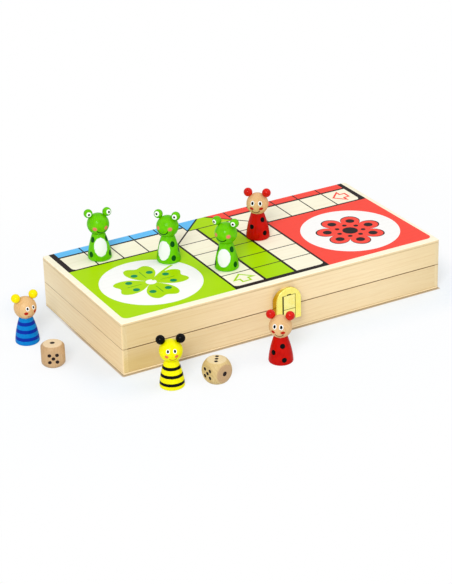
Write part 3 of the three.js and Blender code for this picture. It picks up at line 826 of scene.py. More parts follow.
def build_brass(b):
    """Bright on the face, with painted shade of deeper gold on the rim behind it, less where the
    rim turns up to the light.
    """
    place = here(b)
    wear = b.group(rubbed, Vector=place)
    _, y, z = b.split(place)
    face_tone = b.mix(wear["Dullness"], BRASS_BRIGHT, BRASS_DULL)
    # Painted shade: the rim behind the face is painted a deeper gold, less of it where the rim
    # turns up, as painted light from above.
    rim_lit_from_above = b.fade(z, arch_height + 2.0, arch_height + 10.0) * 0.5
    behind = b.fade(y, clasp_face + 0.25, clasp_face + 1.3) * (1.0 - rim_lit_from_above)
    tone = b.mix(behind, face_tone, RIM_SHADE_GOLD)
    return {"Color": tone, "Roughness": wear["Roughness"], "Height": wear["Height"]}


def build_block_brass(b):
    """The blocks in the window: bright in front, with painted shade nearly black along the left
    edge and just behind it, where the loop keeps light out, and plain brass again further back."""
    place = here(b)
    wear = b.group(rubbed, Vector=place)
    x, y, _ = b.split(place)
    tone = b.mix(wear["Dullness"], BLOCK_BRIGHT, BLOCK_DULL)
    shallow = b.fade(y, clasp_face + 2.1, clasp_face + 1.5)
    behind = b.fade(y, clasp_face + 0.42, clasp_face + 0.55)
    shade_at_left = b.fade(x, block_left + BLOCK_EDGE, block_left + BLOCK_EDGE - 0.2)
    # Painted shade: nearly black just behind the front and along the left edge, where the loop
    # keeps light out.
    tone = b.mix(behind * shallow, tone, BLOCK_SHADE_BROWN)
    tone = b.mix(shade_at_left * shallow, tone, BLOCK_SHADE_BROWN)
    return {"Color": tone, "Roughness": wear["Roughness"], "Height": wear["Height"]}


def build_hinge_brass(b):
    """Hinges, pins and nails are cheaper and duller: more worn patches and a rougher surface."""
    wear = b.group(rubbed, Vector=here(b))
    tone = b.mix(wear["Dullness"], BRASS_DULL, HINGE_WORN)
    return {"Color": tone, "Roughness": wear["Roughness"] + 0.08, "Height": wear["Height"]}


brass = new_material("brass", build_brass, Metallic=1.0)
block_brass = new_material("block brass", build_block_brass, Metallic=1.0)
hinge_brass = new_material("hinge brass", build_hinge_brass, Metallic=1.0)
print("clasp: face at y =", round(clasp_face, 2), "mm, arch centre at", round(arch_height, 2), "mm")

# %% [markdown]
# ## The clasp
# The loop is a shallow cup in the form of an arch, with a window that is open at the foot. One
# section describes it: from the window's edge across the face, round the corner, back along the rim
# and home again on the inside. The section is carried from the left foot over the crown to the
# right foot. Where the window has a corner or the rim has a slot, two stations lie close together.

# %% Stations along the loop
loop_face, loop_back = loop_low.y, loop_high.y
SHEET, EDGE_ROUND = 0.9 * MM, 0.45 * MM
WINDOW_HALF, CROWN_BAND = 5.8 * MM, 5.8 * MM
WINDOW_HEAD = loop_half - CROWN_BAND
SLOT_HALF, SLOT_RISE = 1.7 * MM, 0.7 * MM
_, pin_y, pin_z = middle_of("clasp_pin")
HEEL, NARROW = 1.6 * MM, 0.3 * MM
TINY = 1e-9


def loop_stations():
    """Left leg, arch and right leg: outer point, way inwards and window point at each station."""
    leg = np.linspace(loop_low.z, arch_centre, 9)[:-1]
    window_corner = math.atan2(WINDOW_HEAD, WINDOW_HALF)
    slot_low = math.atan2(WINDOW_HEAD, SLOT_HALF)
    slot_high = math.atan2(WINDOW_HEAD + SLOT_RISE, SLOT_HALF)
    special = [window_corner, slot_low, slot_high]
    angle = np.unique(np.concatenate([np.linspace(0, math.pi / 2, 49), special]))
    angle = np.concatenate([math.pi - angle, angle[-2::-1]])
    sine, cosine = np.sin(angle), np.cos(angle)
    half_turn = np.minimum(angle, math.pi - angle)
    head = WINDOW_HEAD + SLOT_RISE * (half_turn > (slot_low + slot_high) / 2)
    reach = np.minimum(WINDOW_HALF / np.maximum(np.abs(cosine), TINY),
                       head / np.maximum(sine, TINY))
    arch = np.stack([loop_half * cosine, arch_centre + loop_half * sine, -cosine, -sine,
                     reach * cosine, arch_centre + reach * sine], -1)
    zeros = np.zeros_like(leg)
    left = np.stack([zeros - loop_half, leg, zeros + 1, zeros, zeros - WINDOW_HALF, leg], -1)
    mirrored = left[::-1] * np.array([-1, 1, -1, 1, -1, 1])
    return np.concatenate([left, arch, mirrored])


print("stations along the loop:", len(loop_stations()))

# %% The loop's skin
def rim_back(z):
    """The rim's back edge: a slant up the legs, an arc about the pin, then a narrow crown."""
    slant = np.interp(z, [arch_centre, pin_z], [loop_back, pin_y + HEEL])
    arc = pin_y + np.sqrt(np.clip(HEEL ** 2 - (z - pin_z) ** 2, 0, None))
    return np.where(z < pin_z, slant, np.where(z < pin_z + HEEL, arc, pin_y - NARROW))


def loop_surface():
    """The section at each station, as a grid of stations by section points. Round the front edge
    the plan moves inwards by r (1 - sin a) and the section backwards by r (1 - cos a)."""
    table = loop_stations()
    outer, inward, window = table[:, :2], table[:, 2:4], table[:, 4:6]
    rim = rim_back(outer[:, 1])
    face, inner_face = loop_face, loop_face + SHEET
    turn = np.linspace(0, math.pi / 2, 6)
    section = [(window, inner_face), (window, face)]
    for angle in turn:
        inset = EDGE_ROUND * (1 - math.sin(angle))
        section.append((outer + inward * inset, face + EDGE_ROUND * (1 - math.cos(angle))))
    section += [(outer, rim), (outer + inward * SHEET, rim), (outer + inward * SHEET, inner_face)]
    grid = np.empty((len(table), len(section), 3))
    for column, (plan, y) in enumerate(section):
        grid[:, column, 0] = loop_middle + plan[:, 0]
        grid[:, column, 1] = y
        grid[:, column, 2] = plan[:, 1]
    return grid


def recalculated(mesh, sharp=ROUND_TO):
    """Joins doubled points, turns every face outwards and shades round where it is round."""
    bm = bmesh.new()
    bm.from_mesh(mesh)
    bmesh.ops.remove_doubles(bm, verts=bm.verts, dist=MERGE)
    bmesh.ops.dissolve_degenerate(bm, edges=bm.edges, dist=MERGE / 2)
    bmesh.ops.recalc_face_normals(bm, faces=bm.faces)
    bm.to_mesh(mesh)
    bm.free()
    mesh.shade_smooth()
    mesh.set_sharp_from_angle(angle=math.radians(sharp))
    return mesh


loop = link("clasp_loop_pressed", recalculated(closed_loft("clasp_loop_pressed", loop_surface())),
            "clasp_loop", brass)
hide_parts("clasp_loop")
print("clasp loop faces:", len(loop.data.polygons))

# %% [markdown]
# The blocks and the hinge leaves are bent sheet and small castings, with a little rounding on every
# edge. Eased copies of the solids are enough for them. The front of the blocks stands a hair to the
# right of the middle, so the copies' front points are pushed aside. Pins and nails are so small
# that the solids are shown as they are, with a finish of their own.

# %% Blocks, hinges, pins and nails
BLOCK_EASE, LEAF_EASE, BLOCK_FRONT = 0.12 * MM, 0.08 * MM, 1.5 * MM


def everywhere(*ends):
    """True for every edge."""
    return True


for node, body in {"clasp_upper_block": "lid", "clasp_lower_block": "box_base"}.items():
    block = eased(node, body, block_brass, BLOCK_EASE, everywhere)
    place = np.empty(len(block.data.vertices) * 3, np.float32)
    block.data.vertices.foreach_get("co", place)
    place = place.reshape(-1, 3)
    in_front = place[:, 1] < loop_face + BLOCK_FRONT
    place[in_front, 0] += BLOCK_ASIDE
    block.data.vertices.foreach_set("co", place.ravel())
for side in ("left", "right"):
    eased(f"hinge_{side}_lower_leaf", "box_base", hinge_brass, LEAF_EASE, everywhere)
    eased(f"hinge_{side}_upper_leaf", "lid", hinge_brass, LEAF_EASE, everywhere)
small = [node for node in nodes if "_nail" in node or node.endswith("_pin")]
for node in small:
    finish_with(nodes[node], hinge_brass)
print("pins and nails:", len(small))

# %% [markdown]
# ## The pawns
# All seven pawns are turned to one pattern: a bell-shaped body, a ball with a flat under it for the
# head, and two small balls glued on as ears or as a frog's eyes. A turned piece is a profile swept
# round an axis, so it is worked out as a grid of heights by angles. Each point also keeps its place
# on the pawn, with x towards the face, and the paint is laid out on that place.

# %% Turned surfaces
def turned(profile, sides=72):
    """A profile of (radius, height) swept round Z: (r cos a, r sin a, h), a pole at each end."""
    radius, height = np.asarray(profile, float).T
    angle = np.linspace(0, TURN, sides, endpoint=False)
    ring = np.stack([np.outer(radius[1:-1], np.cos(angle)), np.outer(radius[1:-1], np.sin(angle)),
                     np.repeat(height[1:-1, None], sides, 1)], -1)
    points = np.vstack([[[0, 0, height[0]]], ring.reshape(-1, 3), [[0, 0, height[-1]]]])
    rows = len(radius) - 2
    index = 1 + np.arange(rows * sides).reshape(rows, sides)
    after = np.roll(index, -1, 1)
    pole = np.zeros(sides, int)
    low_fan = np.stack([pole, after[0], index[0]], -1)
    high_fan = np.stack([pole + len(points) - 1, index[-1], after[-1]], -1)
    return points, quads_round(index) + low_fan.tolist() + high_fan.tolist()


def on_stand(name, points, faces, stand, body, material, sharp):
    """Makes a piece from points in millimetres about its own axis, turned to where it stands.
    Edges sharper than sharp, in degrees, stay sharp in the shading."""
    centre, heading = stand
    cosine, sine = math.cos(heading), math.sin(heading)
    placed = points @ np.array([[cosine, sine, 0], [-sine, cosine, 0], [0, 0, 1]]) * MM + centre
    mesh = bpy.data.meshes.new(name)
    mesh.from_pydata(placed.tolist(), [], faces)
    mesh.shade_smooth()
    mesh.set_sharp_from_angle(angle=math.radians(sharp))
    local = mesh.attributes.new("local", "FLOAT_VECTOR", "POINT")
    local.data.foreach_set("vector", points.astype(np.float32).ravel())
    return link(name, mesh, body, material)


print("a turned cylinder has", len(turned([(0, 0), (1, 0), (1, 1), (0, 1)])[1]), "faces")

# %% [markdown]
# The bell of the body is slim at the neck and runs out to the foot in one curve, so its side is a
# power of the height. The foot has a small round edge, as the lathe leaves it. The head is a ball
# that is flat where it is glued to the neck. An ear is a ball too, pushed out to where it just
# touches the head; what would lie inside the head is laid onto the head's own curve instead.

# %% Profiles of the pawn, in millimetres
BASE_RADIUS, NECK_RADIUS, BODY_HEIGHT, FOOT_ROUND, SIDE_CURVE = 9.4, 4.9, 21.4, 1.2, 1.7
HEAD_RADIUS, EAR_RADIUS, EAR_TILT = 8.7, 3.5, math.radians(38)
EAR_SEAT, EAR_FLAT, EAR_OUT, GLUE_LINE = 2.0, 0.6, 0.3, 0.02
HEAD_CENTRE = BODY_HEIGHT + math.sqrt(HEAD_RADIUS ** 2 - NECK_RADIUS ** 2)
EAR_REACH = HEAD_RADIUS + EAR_OUT + math.sqrt(EAR_RADIUS ** 2 - EAR_SEAT ** 2)


def side_radius(t):
    """The body's side leans in as 1 - t ** 1.7, with t from 0 at the foot to 1 at the neck."""
    return NECK_RADIUS + (BASE_RADIUS - NECK_RADIUS) * (1 - t ** SIDE_CURVE)


def body_profile():
    """From the middle of the sole round the foot, up the side and over the shoulder to the top."""
    t = np.linspace(FOOT_ROUND / BODY_HEIGHT, 1, 40)
    side = side_radius(t)
    turn = np.linspace(-math.pi / 2, 0, 9)[:-1]
    foot = [(side[0] - FOOT_ROUND + FOOT_ROUND * math.cos(a), FOOT_ROUND + FOOT_ROUND * math.sin(a))
            for a in turn]
    shoulder = [(NECK_RADIUS - 0.12, BODY_HEIGHT - 0.02), (NECK_RADIUS - 0.3, BODY_HEIGHT)]
    wall = list(zip(side[:-1], t[:-1] * BODY_HEIGHT)) + [(NECK_RADIUS, BODY_HEIGHT - 0.15)]
    return [(0, 0), *foot, *wall, *shoulder, (0, BODY_HEIGHT)]


def ball_profile(radius, flat, rows=40):
    """A ball from a flat below to the pole above, about the height 0."""
    angle = np.linspace(math.pi - math.asin(flat / radius), 0, rows)
    under = -math.sqrt(radius ** 2 - flat ** 2)
    return [(0, under), *zip(radius * np.sin(angle[:-1]), radius * np.cos(angle[:-1])), (0, radius)]


def ear_points(hand):
    """A ball beside the crown. Where it would enter the head it follows the head's own curve."""
    points, faces = turned(ball_profile(EAR_RADIUS, EAR_FLAT, 26), 44)
    points[:, 2] += EAR_REACH
    cosine, sine = math.cos(hand * EAR_TILT), math.sin(hand * EAR_TILT)
    points = points @ np.array([[1, 0, 0], [0, cosine, -sine], [0, sine, cosine]])
    reach = np.linalg.norm(points, axis=1)
    seat = HEAD_RADIUS + GLUE_LINE
    points *= np.where(reach < seat, seat / reach, 1)[:, None]
    return points + np.array([0, 0, HEAD_CENTRE]), faces


print("a pawn without ears is", round(HEAD_CENTRE + HEAD_RADIUS, 1), "mm tall")

# %% [markdown]
# ## Paint
# The paint is glossy and thick enough to round off the wood. Eyes, cheeks, dots and bellies are all
# soft-edged ovals, so one group draws them: it measures how many half-sizes a point lies from the
# oval's middle, and lets that distance wander a little, as a brush does. Bare heads show the grain.

# %% Paint groups
def build_oval(b, g):
    """1 inside an oval, 0 outside: the length of (place - centre) / half size, set against 1."""
    offset = b.vector("SUBTRACT", g["Vector"], g["Centre"])
    reach = b.vector("LENGTH", b.vector("DIVIDE", offset, g["Half size"]), output="Value")
    wander = (b.noise(g["Vector"], 0.8, 1.0) - 0.5) * 0.16
    return {"Mask": b.fade(reach + wander, g["Softness"] + 1.0, 1.0 - g["Softness"])}


def build_coat(b, g):
    """A brushed gloss coat: slow waves in the film and a slightly uneven colour."""
    waves = b.noise(g["Vector"], 0.25, 1.0)
    specks = b.noise(g["Vector"], 2.4, 3.0)
    deep = b.fade(waves * 0.7 + specks * 0.3, 0.35, 0.7)
    return {
        "Color": b.mix(deep, g["Paint"], g["Deep"]),
        "Roughness": specks * 0.12 + 0.2,
        "Height": waves,
    }


oval = new_group("Painted oval", {"Vector": ("Vector", None), "Centre": ("Vector", (0, 0, 0)),
                                  "Half size": ("Vector", (1, 1, 1)), "Softness": ("Float", 0.08)},
                 {"Mask": "Float"}, build_oval)
coat_inputs = {"Vector": ("Vector", None), "Paint": ("Color", WHITE), "Deep": ("Color", WHITE)}
coat = new_group("Gloss coat", coat_inputs, FINISH, build_coat)
# The ladybirds' ear red is the body's red painted brighter, as painted light on the ears.
RED, RED_DEEP, EAR_LIT_RED = colour(196, 14, 2), colour(178, 8, 1), colour(222, 26, 6)
GREEN, GREEN_DEEP = colour(106, 200, 0), colour(93, 184, 0)
YELLOW, YELLOW_DEEP = colour(242, 236, 1), colour(236, 226, 0)
EAR_YELLOW, EAR_YELLOW_DEEP = colour(252, 232, 4), colour(246, 222, 2)
BLUE, BLUE_DEEP, RING_BLUE = colour(2, 127, 203), colour(1, 119, 195), colour(1, 45, 157)
BLACK, BLACK_DEEP = colour(8, 6, 5), colour(4, 3, 3)
EYE_WHITE, BELLY_WHITE = colour(248, 249, 247), colour(238, 241, 240)
SPOT_GREEN = colour(2, 80, 12)
BEECH_PALE, BEECH_DARK = colour(232, 192, 138), colour(212, 168, 114)

# %% [markdown]
# A painter lays the base coat first, then rings, then the mouth, and the dots last. The material is
# built in the same order: each mark is a mask that mixes its colour over what is there already.
# Marks are placed as a hand would place them, by a turn to the left of the face and a height.

# %% Base coats and places on a pawn
SOFT_RING, SOFT_LINE, COAT_ROUGHNESS = 0.12, 0.1, 0.16


def own_place(b):
    """A point's place on its own pawn or die, in millimetres: the mesh's attribute local."""
    return b.field(b.node("ShaderNodeAttribute", attribute_name="local"), "Vector")


def painted(paint, deep):
    """A base coat of gloss paint."""
    return lambda b: b.group(coat, Vector=own_place(b), Paint=paint, Deep=deep)


def bare_wood(b):
    """A base of turned wood under clear lacquer, its grain along the pawn's own axis."""
    x, y, z = b.split(own_place(b))
    return b.group(long_grain, Vector=b.join(z, x, y), Pale=BEECH_PALE, Dark=BEECH_DARK,
                   Ring_width=1.7, Figure=0.9)


def on_ball(centre, radius, turn, rise):
    """The point of a ball at a turn to the left of the face and a rise above it, in degrees."""
    a, e = math.radians(turn), math.radians(rise)
    return (centre[0] + radius * math.cos(e) * math.cos(a),
            centre[1] + radius * math.cos(e) * math.sin(a), centre[2] + radius * math.sin(e))


def on_head(turn, rise):
    """The point of the head at a turn to the left of the nose and a rise above it."""
    return on_ball((0, 0, HEAD_CENTRE), HEAD_RADIUS, turn, rise)


def on_body(turn, height):
    """The point of the body's side at a turn to the left of the face and a height."""
    radius, a = side_radius(height / BODY_HEIGHT), math.radians(turn)
    return (radius * math.cos(a), radius * math.sin(a), height)


print("crown of the head at", [round(v, 1) for v in on_head(0, 90)], "mm")

# %% Paint materials
def paint_material(name, base, ovals=(), rings=(), smile=None, gloss=0.14):
    """A base with rings (height, width, colour), a smile (sideways, radius, lowest height, half
    width, thickness, colour) and ovals (centre, half sizes, colour, softness), in that order."""
    def build(b):
        """Each mark is a mask by which its colour is mixed over what is there already."""
        made = base(b)
        place = own_place(b)
        x, y, z = b.split(place)
        tone = made["Color"]
        level = z + (b.noise(place, 0.3, 1.0) - 0.5) * 0.4 if rings else z
        for height, width, shade in rings:
            off = abs(level - height)
            ring = b.fade(off, width / 2 + SOFT_RING, width / 2 - SOFT_RING)
            tone = b.mix(ring, tone, shade)
        if smile:
            sideways, radius, lowest, half_width, thickness, shade = smile
            off = abs(b.length(0.0, y - sideways, z - (lowest + radius)) - radius)
            line = b.fade(off, thickness / 2 + SOFT_LINE, thickness / 2 - SOFT_LINE)
            line = line & (z < lowest + radius) & (abs(y - sideways) < half_width) & (x > 0.0)
            tone = b.mix(line, tone, shade)
        for centre, half, shade, softness in ovals:
            spot = b.group(oval, Vector=place, Centre=centre, Half_size=half, Softness=softness)
            tone = b.mix(spot["Mask"], tone, shade)
        return {"Color": tone, "Roughness": made["Roughness"], "Height": made["Height"]}

    return new_material(name, build, Specular_IOR_Level=0.02, Coat_Weight=gloss,
                        Coat_Roughness=COAT_ROUGHNESS)


def face_ovals(turn, eye, white, pupil, cheek, cheek_size, cheek_shade, softness):
    """Eyes and cheeks in pairs. eye and cheek are (turn, rise) on the head, and the sizes are the
    half width and the half height of the oval."""
    def both(size):
        """An oval's half width, which counts in both level directions, and its half height."""
        return (size[0], size[0], size[1])

    ovals = []
    for hand in (-1, 1):
        place = on_head(turn + hand * eye[0], eye[1])
        ovals.append((place, both(white), EYE_WHITE, 0.07))
        ovals.append((place, both(pupil), BLACK_DEEP, 0.10))
        blush = on_head(turn + hand * cheek[0], cheek[1])
        ovals.append((blush, both(cheek_size), cheek_shade, softness))
    return ovals


# %% [markdown]
# ## Each animal's own paint
# Ladybirds have bare faces, red bodies and black dots; the bee is yellow with black rings; the blue
# bug has a bare face and rings of a deeper blue; frogs are green all over, with a white belly, dark
# spots on their sides and big white eyes. The dots were set by hand, so no two pawns are alike.

# %% Paint of ladybirds, bee and blue bug
CHEEK_RED, CHEEK_ORANGE = colour(184, 34, 12), colour(226, 118, 66)
SMILE_BROWN, SMILE_OCHRE, SMILE_ROSE = colour(84, 40, 16), colour(182, 124, 10), colour(196, 84, 60)
LADYBIRD_DOTS = {
    "ladybird_1": [(-29, 11.2), (46, 16.7), (48, 6.0), (-95, 15.5), (-84, 4.5), (112, 11),
                   (150, 4.5), (168, 15.5), (-142, 10)],
    "ladybird_2": [(23, 15.3), (-31, 10), (28, 4.7), (-95, 14), (-90, 4.5), (108, 10.5),
                   (142, 15.5), (128, 4.5), (-150, 9.5)],
}
LADYBIRD_DOT = (2.0, 2.0, 2.0)
FACE_PLACES = {"ladybird_1": (2.5, 22, -0.2), "ladybird_2": (-3.2, 18.2, 0.4)}
looks = {}
for name, dots in LADYBIRD_DOTS.items():
    face_turn, eye_turn, smile_aside = FACE_PLACES[name]
    spots = [(on_body(turn, height), LADYBIRD_DOT, BLACK_DEEP, 0.05) for turn, height in dots]
    looks[name] = {
        "body": paint_material(name + " body", painted(RED, RED_DEEP), spots),
        # The ears are painted a brighter red than the body, as painted light on them.
        "ear": paint_material(name + " ears", painted(EAR_LIT_RED, RED), gloss=0.3),
        "head": paint_material(
            name + " head", bare_wood,
            face_ovals(face_turn, (eye_turn, 20.5), (1.6, 2.2), (1.0, 1.5), (26, -9), (1.75, 1.25),
                       CHEEK_RED, 0.14),
            smile=(smile_aside, 3.8, 23.8, 3.2, 0.75, SMILE_BROWN)),
    }
looks["bee"] = {
    "body": paint_material("bee body", painted(YELLOW, YELLOW_DEEP),
                           rings=[(height, 2.35, BLACK_DEEP) for height in (4.4, 10.5, 16.4)]),
    "ear": paint_material("bee ears", painted(BLACK, BLACK_DEEP), gloss=0.12),
    "head": paint_material(
        "bee head", painted(YELLOW, YELLOW_DEEP),
        face_ovals(-2, (18.4, 21), (1.4, 1.75), (0.85, 1.3), (25, -7), (1.5, 1.3),
                   CHEEK_ORANGE, 0.35),
        smile=(0.7, 3.8, 24.6, 2.7, 0.75, SMILE_OCHRE)),
}
looks["bluebug"] = {
    "body": paint_material("blue bug body", painted(BLUE, BLUE_DEEP),
                           rings=[(height, 2.7, RING_BLUE) for height in (5.2, 11.1, 17.0)]),
    "ear": paint_material("blue bug ears", painted(EAR_YELLOW, EAR_YELLOW_DEEP)),
    "head": paint_material(
        "blue bug head", bare_wood,
        face_ovals(6, (18, 16), (1.4, 1.8), (0.8, 1.1), (27, -9), (1.6, 1.3), CHEEK_RED, 0.12),
        smile=(0.8, 3.7, 23.4, 2.4, 0.7, SMILE_ROSE)),
}
print("painted so far:", list(looks))

# %% [markdown]
# The three frogs share one recipe and differ in its numbers: how far the drawing leans to one side,
# where the spots sit, how wide the belly is and where each eye looks. Keeping such numbers in one
# table per pawn makes it plain what is shared and what is not.

# %% Paint of the frogs
SPOT_SIZE, BLUSH_SIZE, PUPIL_SIZE = (2.0, 2.0, 2.4), (1.7, 1.7, 1.5), (0.9, 0.9, 0.9)
BELLY_HALF, SMILE_THICK = (7.5, 5.2), 0.9
BACK_SPOTS = [(110, 9.4), (-110, 9.4), (158, 16.2), (-160, 14.6), (150, 4.3), (-148, 4.6)]
CHEEK_ROSE, SMILE_GREEN = colour(236, 122, 104), colour(0, 72, 6)
FROGS = {
    "frog_1": {"lean": 0, "spots": [(60, 17), (-60, 17), (56, 5.2), (-57, 5.4)],
               "belly": (11.8, 7.4), "looks": ((22, 12), (3, 3)), "white": 2.05,
               "cheeks": (4.5, 31.5, -7.5), "smile": (1.5, 4.6, 23.7, 3.8)},
    "frog_2": {"lean": -6, "spots": [(60, 15.7), (-60, 15.9), (56, 4.9), (-58, 4.9)],
               "belly": (10.9, 7.7), "looks": ((2, 5), (-1, 18)), "white": 2.1,
               "cheeks": (1.5, 35, 4.5), "smile": (-0.7, 4.7, 24.6, 4.3)},
    "frog_3": {"lean": 7, "spots": [(60, 17), (-60, 16.4), (66, 4.9), (-58, 4.9)],
               "belly": (10.9, 7.1), "looks": ((3, 4), (-18, -2)), "white": 1.85,
               "cheeks": (0.5, 37, 3.5), "smile": (-0.3, 5.2, 24.8, 4.0)},
}
for name, frog in FROGS.items():
    lean, (height, half_height) = frog["lean"], frog["belly"]
    spots = [(on_body(turn + lean, rise), SPOT_SIZE, SPOT_GREEN, 0.06)
             for turn, rise in frog["spots"] + BACK_SPOTS]
    spots.append((on_body(lean, height), (*BELLY_HALF, half_height), BELLY_WHITE, 0.03))
    turn, spread, rise = frog["cheeks"]
    blush = [(on_head(turn + hand * spread, rise), BLUSH_SIZE, CHEEK_ROSE, 0.45)
             for hand in (-1, 1)]
    eyes = []
    for hand, (turn, rise) in zip((1, -1), frog["looks"]):
        bulb = (0, hand * EAR_REACH * math.sin(EAR_TILT),
                HEAD_CENTRE + EAR_REACH * math.cos(EAR_TILT))
        looking = on_ball(bulb, EAR_RADIUS, turn, rise)
        eyes.append((looking, (frog["white"],) * 3, EYE_WHITE, 0.05))
        eyes.append((looking, PUPIL_SIZE, BLACK_DEEP, 0.12))
    green = painted(GREEN, GREEN_DEEP)
    looks[name] = {
        "body": paint_material(name + " body", green, spots),
        "ear": paint_material(name + " eyes", green, eyes),
        "head": paint_material(name + " head", green, blush,
                               smile=(*frog["smile"], SMILE_THICK, SMILE_GREEN)),
    }
print("painted pawns:", sorted(looks))

# %% [markdown]
# Each pawn stands where its solid stands and faces its own way, in degrees from the long side of
# the box. Its four parts are made alike: points about the pawn's own axis, turned and moved to
# their place. The soles hang a fiftieth of a millimetre above the board, so that sole and print
# never lie in one plane, which would flicker.

# %% Pawns
HEADINGS = {"frog_1": -106, "frog_2": -141, "frog_3": -144, "ladybird_1": -129,
            "ladybird_2": -132, "bee": -112, "bluebug": -88}
SOLE_GAP, ROUND_PART, ROUND_EAR = 0.02 * MM, 40, 60
SLOTS = {
    "frog": {"body": "frog_green", "head": "frog_green", "ear": "frog_green"},
    "lady": {"body": "ladybird_red", "head": "beech", "ear": "ladybird_red"},
    "bee": {"body": "bee_yellow", "head": "bee_yellow", "ear": "bee_black"},
    "blue": {"body": "bug_blue", "head": "beech", "ear": "bug_yellow"},
}
body_shape, head_shape = turned(body_profile()), turned(ball_profile(HEAD_RADIUS, NECK_RADIUS))
head_shape[0][:, 2] += HEAD_CENTRE
for name, heading in HEADINGS.items():
    sole = middle_of(name + "_body")
    sole[2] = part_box(name + "_body")[0].z + SOLE_GAP
    kind = next(key for key in SLOTS if name.startswith(key))
    label = "eye" if kind == "frog" else "ear"
    parts = {
        "body": ("body", body_shape, ROUND_PART),
        "head": ("head", head_shape, ROUND_PART),
        label + "_left": ("ear", ear_points(-1), ROUND_EAR),
        label + "_right": ("ear", ear_points(1), ROUND_EAR),
    }
    for part, (finish, (points, faces), sharp) in parts.items():
        node = f"{name}_{part}"
        made = on_stand(node + "_turned", points, faces, (sole, math.radians(heading)), name,
                        looks[name][finish], sharp)
        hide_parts(node)
print("pawns:", len(HEADINGS))

# %% [markdown]
# ## Dice
# A tumbled die is a cube whose corners are cut by a ball. Its surface is found by looking out from
# the middle: along each direction it lies at the cube or at the ball, whichever is nearer, and a
# smooth minimum rounds the edge between them. The pips are small hollows. How far each point is
# from the nearest pip is kept in the mesh, and black paint fills what is nearer than the rim.

# %% Dice surface
DIE_HALF, DIE_BALL, SHARPNESS = 9.0, 11.2, 34.0
PIP_RADIUS, ONE_PIP_RADIUS, PIP_STEP, PIP_DEPTH = 1.4, 1.85, 2.8, 0.5
PIPS = {1: [(0, 0)], 2: [(-1, -1), (1, 1)], 3: [(-1, 1), (0, 0), (1, -1)],
        4: [(-1, -1), (-1, 1), (1, -1), (1, 1)], 5: [(-1, -1), (-1, 1), (0, 0), (1, -1), (1, 1)],
        6: [(-1, -1), (0, -1), (1, -1), (-1, 1), (0, 1), (1, 1)]}
FACES = [((0, 0, -1), (0, 1, 0), (1, 0, 0)), ((0, 0, 1), (0, 1, 0), (-1, 0, 0)),
         ((1, 0, 0), (0, 0, -1), (0, 1, 0)), ((1, 0, 0), (0, 0, 1), (0, -1, 0)),
         ((1, 0, 0), (0, 1, 0), (0, 0, 1)), ((1, 0, 0), (0, -1, 0), (0, 0, -1))]


def die_surface(numbers, count=72):
    """r = (c ** -p + R ** -p) ** (-1 / p), with c the cube's distance, R the ball's and p = 34.
    A pip takes away depth * sqrt(1 - d ** 2), with d the distance from it in radii."""
    step = np.tan(np.linspace(-math.pi / 4, math.pi / 4, count + 1))
    u, v = np.meshgrid(step, step, indexing="ij")
    direction = np.stack([u, v, np.ones_like(u)], -1)
    direction /= np.linalg.norm(direction, axis=-1, keepdims=True)
    cube = DIE_HALF / direction[..., 2]
    reach = (cube ** -SHARPNESS + DIE_BALL ** -SHARPNESS) ** (-1 / SHARPNESS)
    index = np.arange((count + 1) ** 2).reshape(count + 1, count + 1)
    quads = np.stack([index[:-1, :-1], index[1:, :-1], index[1:, 1:], index[:-1, 1:]], -1)
    points, faces, rims = [], [], []
    for axes, number in zip(FACES, numbers):
        surface = direction * reach[..., None]
        pip = ONE_PIP_RADIUS if number == 1 else PIP_RADIUS
        spots = np.array(PIPS[number], float) * PIP_STEP
        rim = np.linalg.norm(surface[..., None, :2] - spots, axis=-1).min(-1) / pip
        surface[..., 2] -= PIP_DEPTH * np.sqrt(np.clip(1 - rim ** 2, 0, 1))
        faces.append(quads.reshape(-1, 4) + len(points) * (count + 1) ** 2)
        points.append(surface.reshape(-1, 3) @ np.array(axes, float))
        rims.append(rim.ravel())
    return np.concatenate(points), np.concatenate(faces).tolist(), np.concatenate(rims)


print("a die is", 2 * DIE_HALF, "mm across, of", len(FACES), "patches")

# %% [markdown]
# The dice are beech, cut from a stick, so two faces of each show sawn end grain and four show long
# grain. On the left die the grain stands upright, on the front one it lies flat. Both grains are
# read on the die's own place and meet softly at the rounded edges, where the wood turns over. The
# upright faces with long grain are painted a little darker than the rest, as painted shade.

# %% Dice
SKIN_FROM, SKIN_TO, ROUND_DIE = 0.8, 0.15, 80
DIE_HEART, PIP_BLACK = (-1.0, -0.5, 0), colour(30, 14, 10)


def die_material(name, ends, pale, dark, sawn_pale, sawn_dark, side_shade):
    """Sanded beech with black pips. ends is 0 where the grain runs along x, and 2 where along z.
    The last argument, painted shade, multiplies the colour of the upright faces that show long
    grain."""
    def build(b):
        """Long grain, end grain over it on the two sawn faces, and black in the pips."""
        place = b.split(own_place(b))
        along, across, depth = place[ends], place[1], place[2 - ends]
        wood = b.group(long_grain, Vector=b.join(along, across, depth), Ring_width=2.1,
                       Figure=0.7, Pale=pale, Dark=dark)
        rings = b.group(end_grain, Vector=b.join(across, depth, 0.0), Heart=DIE_HEART,
                        Ring_width=1.3, Pale=sawn_pale, Dark=sawn_dark)
        sawn = b.fade(abs(along), DIE_HALF - SKIN_FROM, DIE_HALF - SKIN_TO)
        upright = b.fade(abs(place[2]), DIE_HALF - SKIN_TO, DIE_HALF - SKIN_FROM)
        # Painted shade: the upright faces are darker than the top, where less light falls.
        side_shaded_long = b.mix(upright, wood["Color"], b.times(wood["Color"], side_shade))
        rim = b.field(b.node("ShaderNodeAttribute", attribute_name="pip"), "Fac")
        tone = b.mix(sawn, side_shaded_long, rings["Color"])
        tone = b.mix(b.fade(rim, 1.04, 0.96), tone, PIP_BLACK)
        return {"Color": tone, "Roughness": wood["Roughness"], "Height": wood["Height"]}

    return new_material(name, build, Specular_IOR_Level=0.15, Coat_Weight=0.1, Coat_Roughness=0.3)


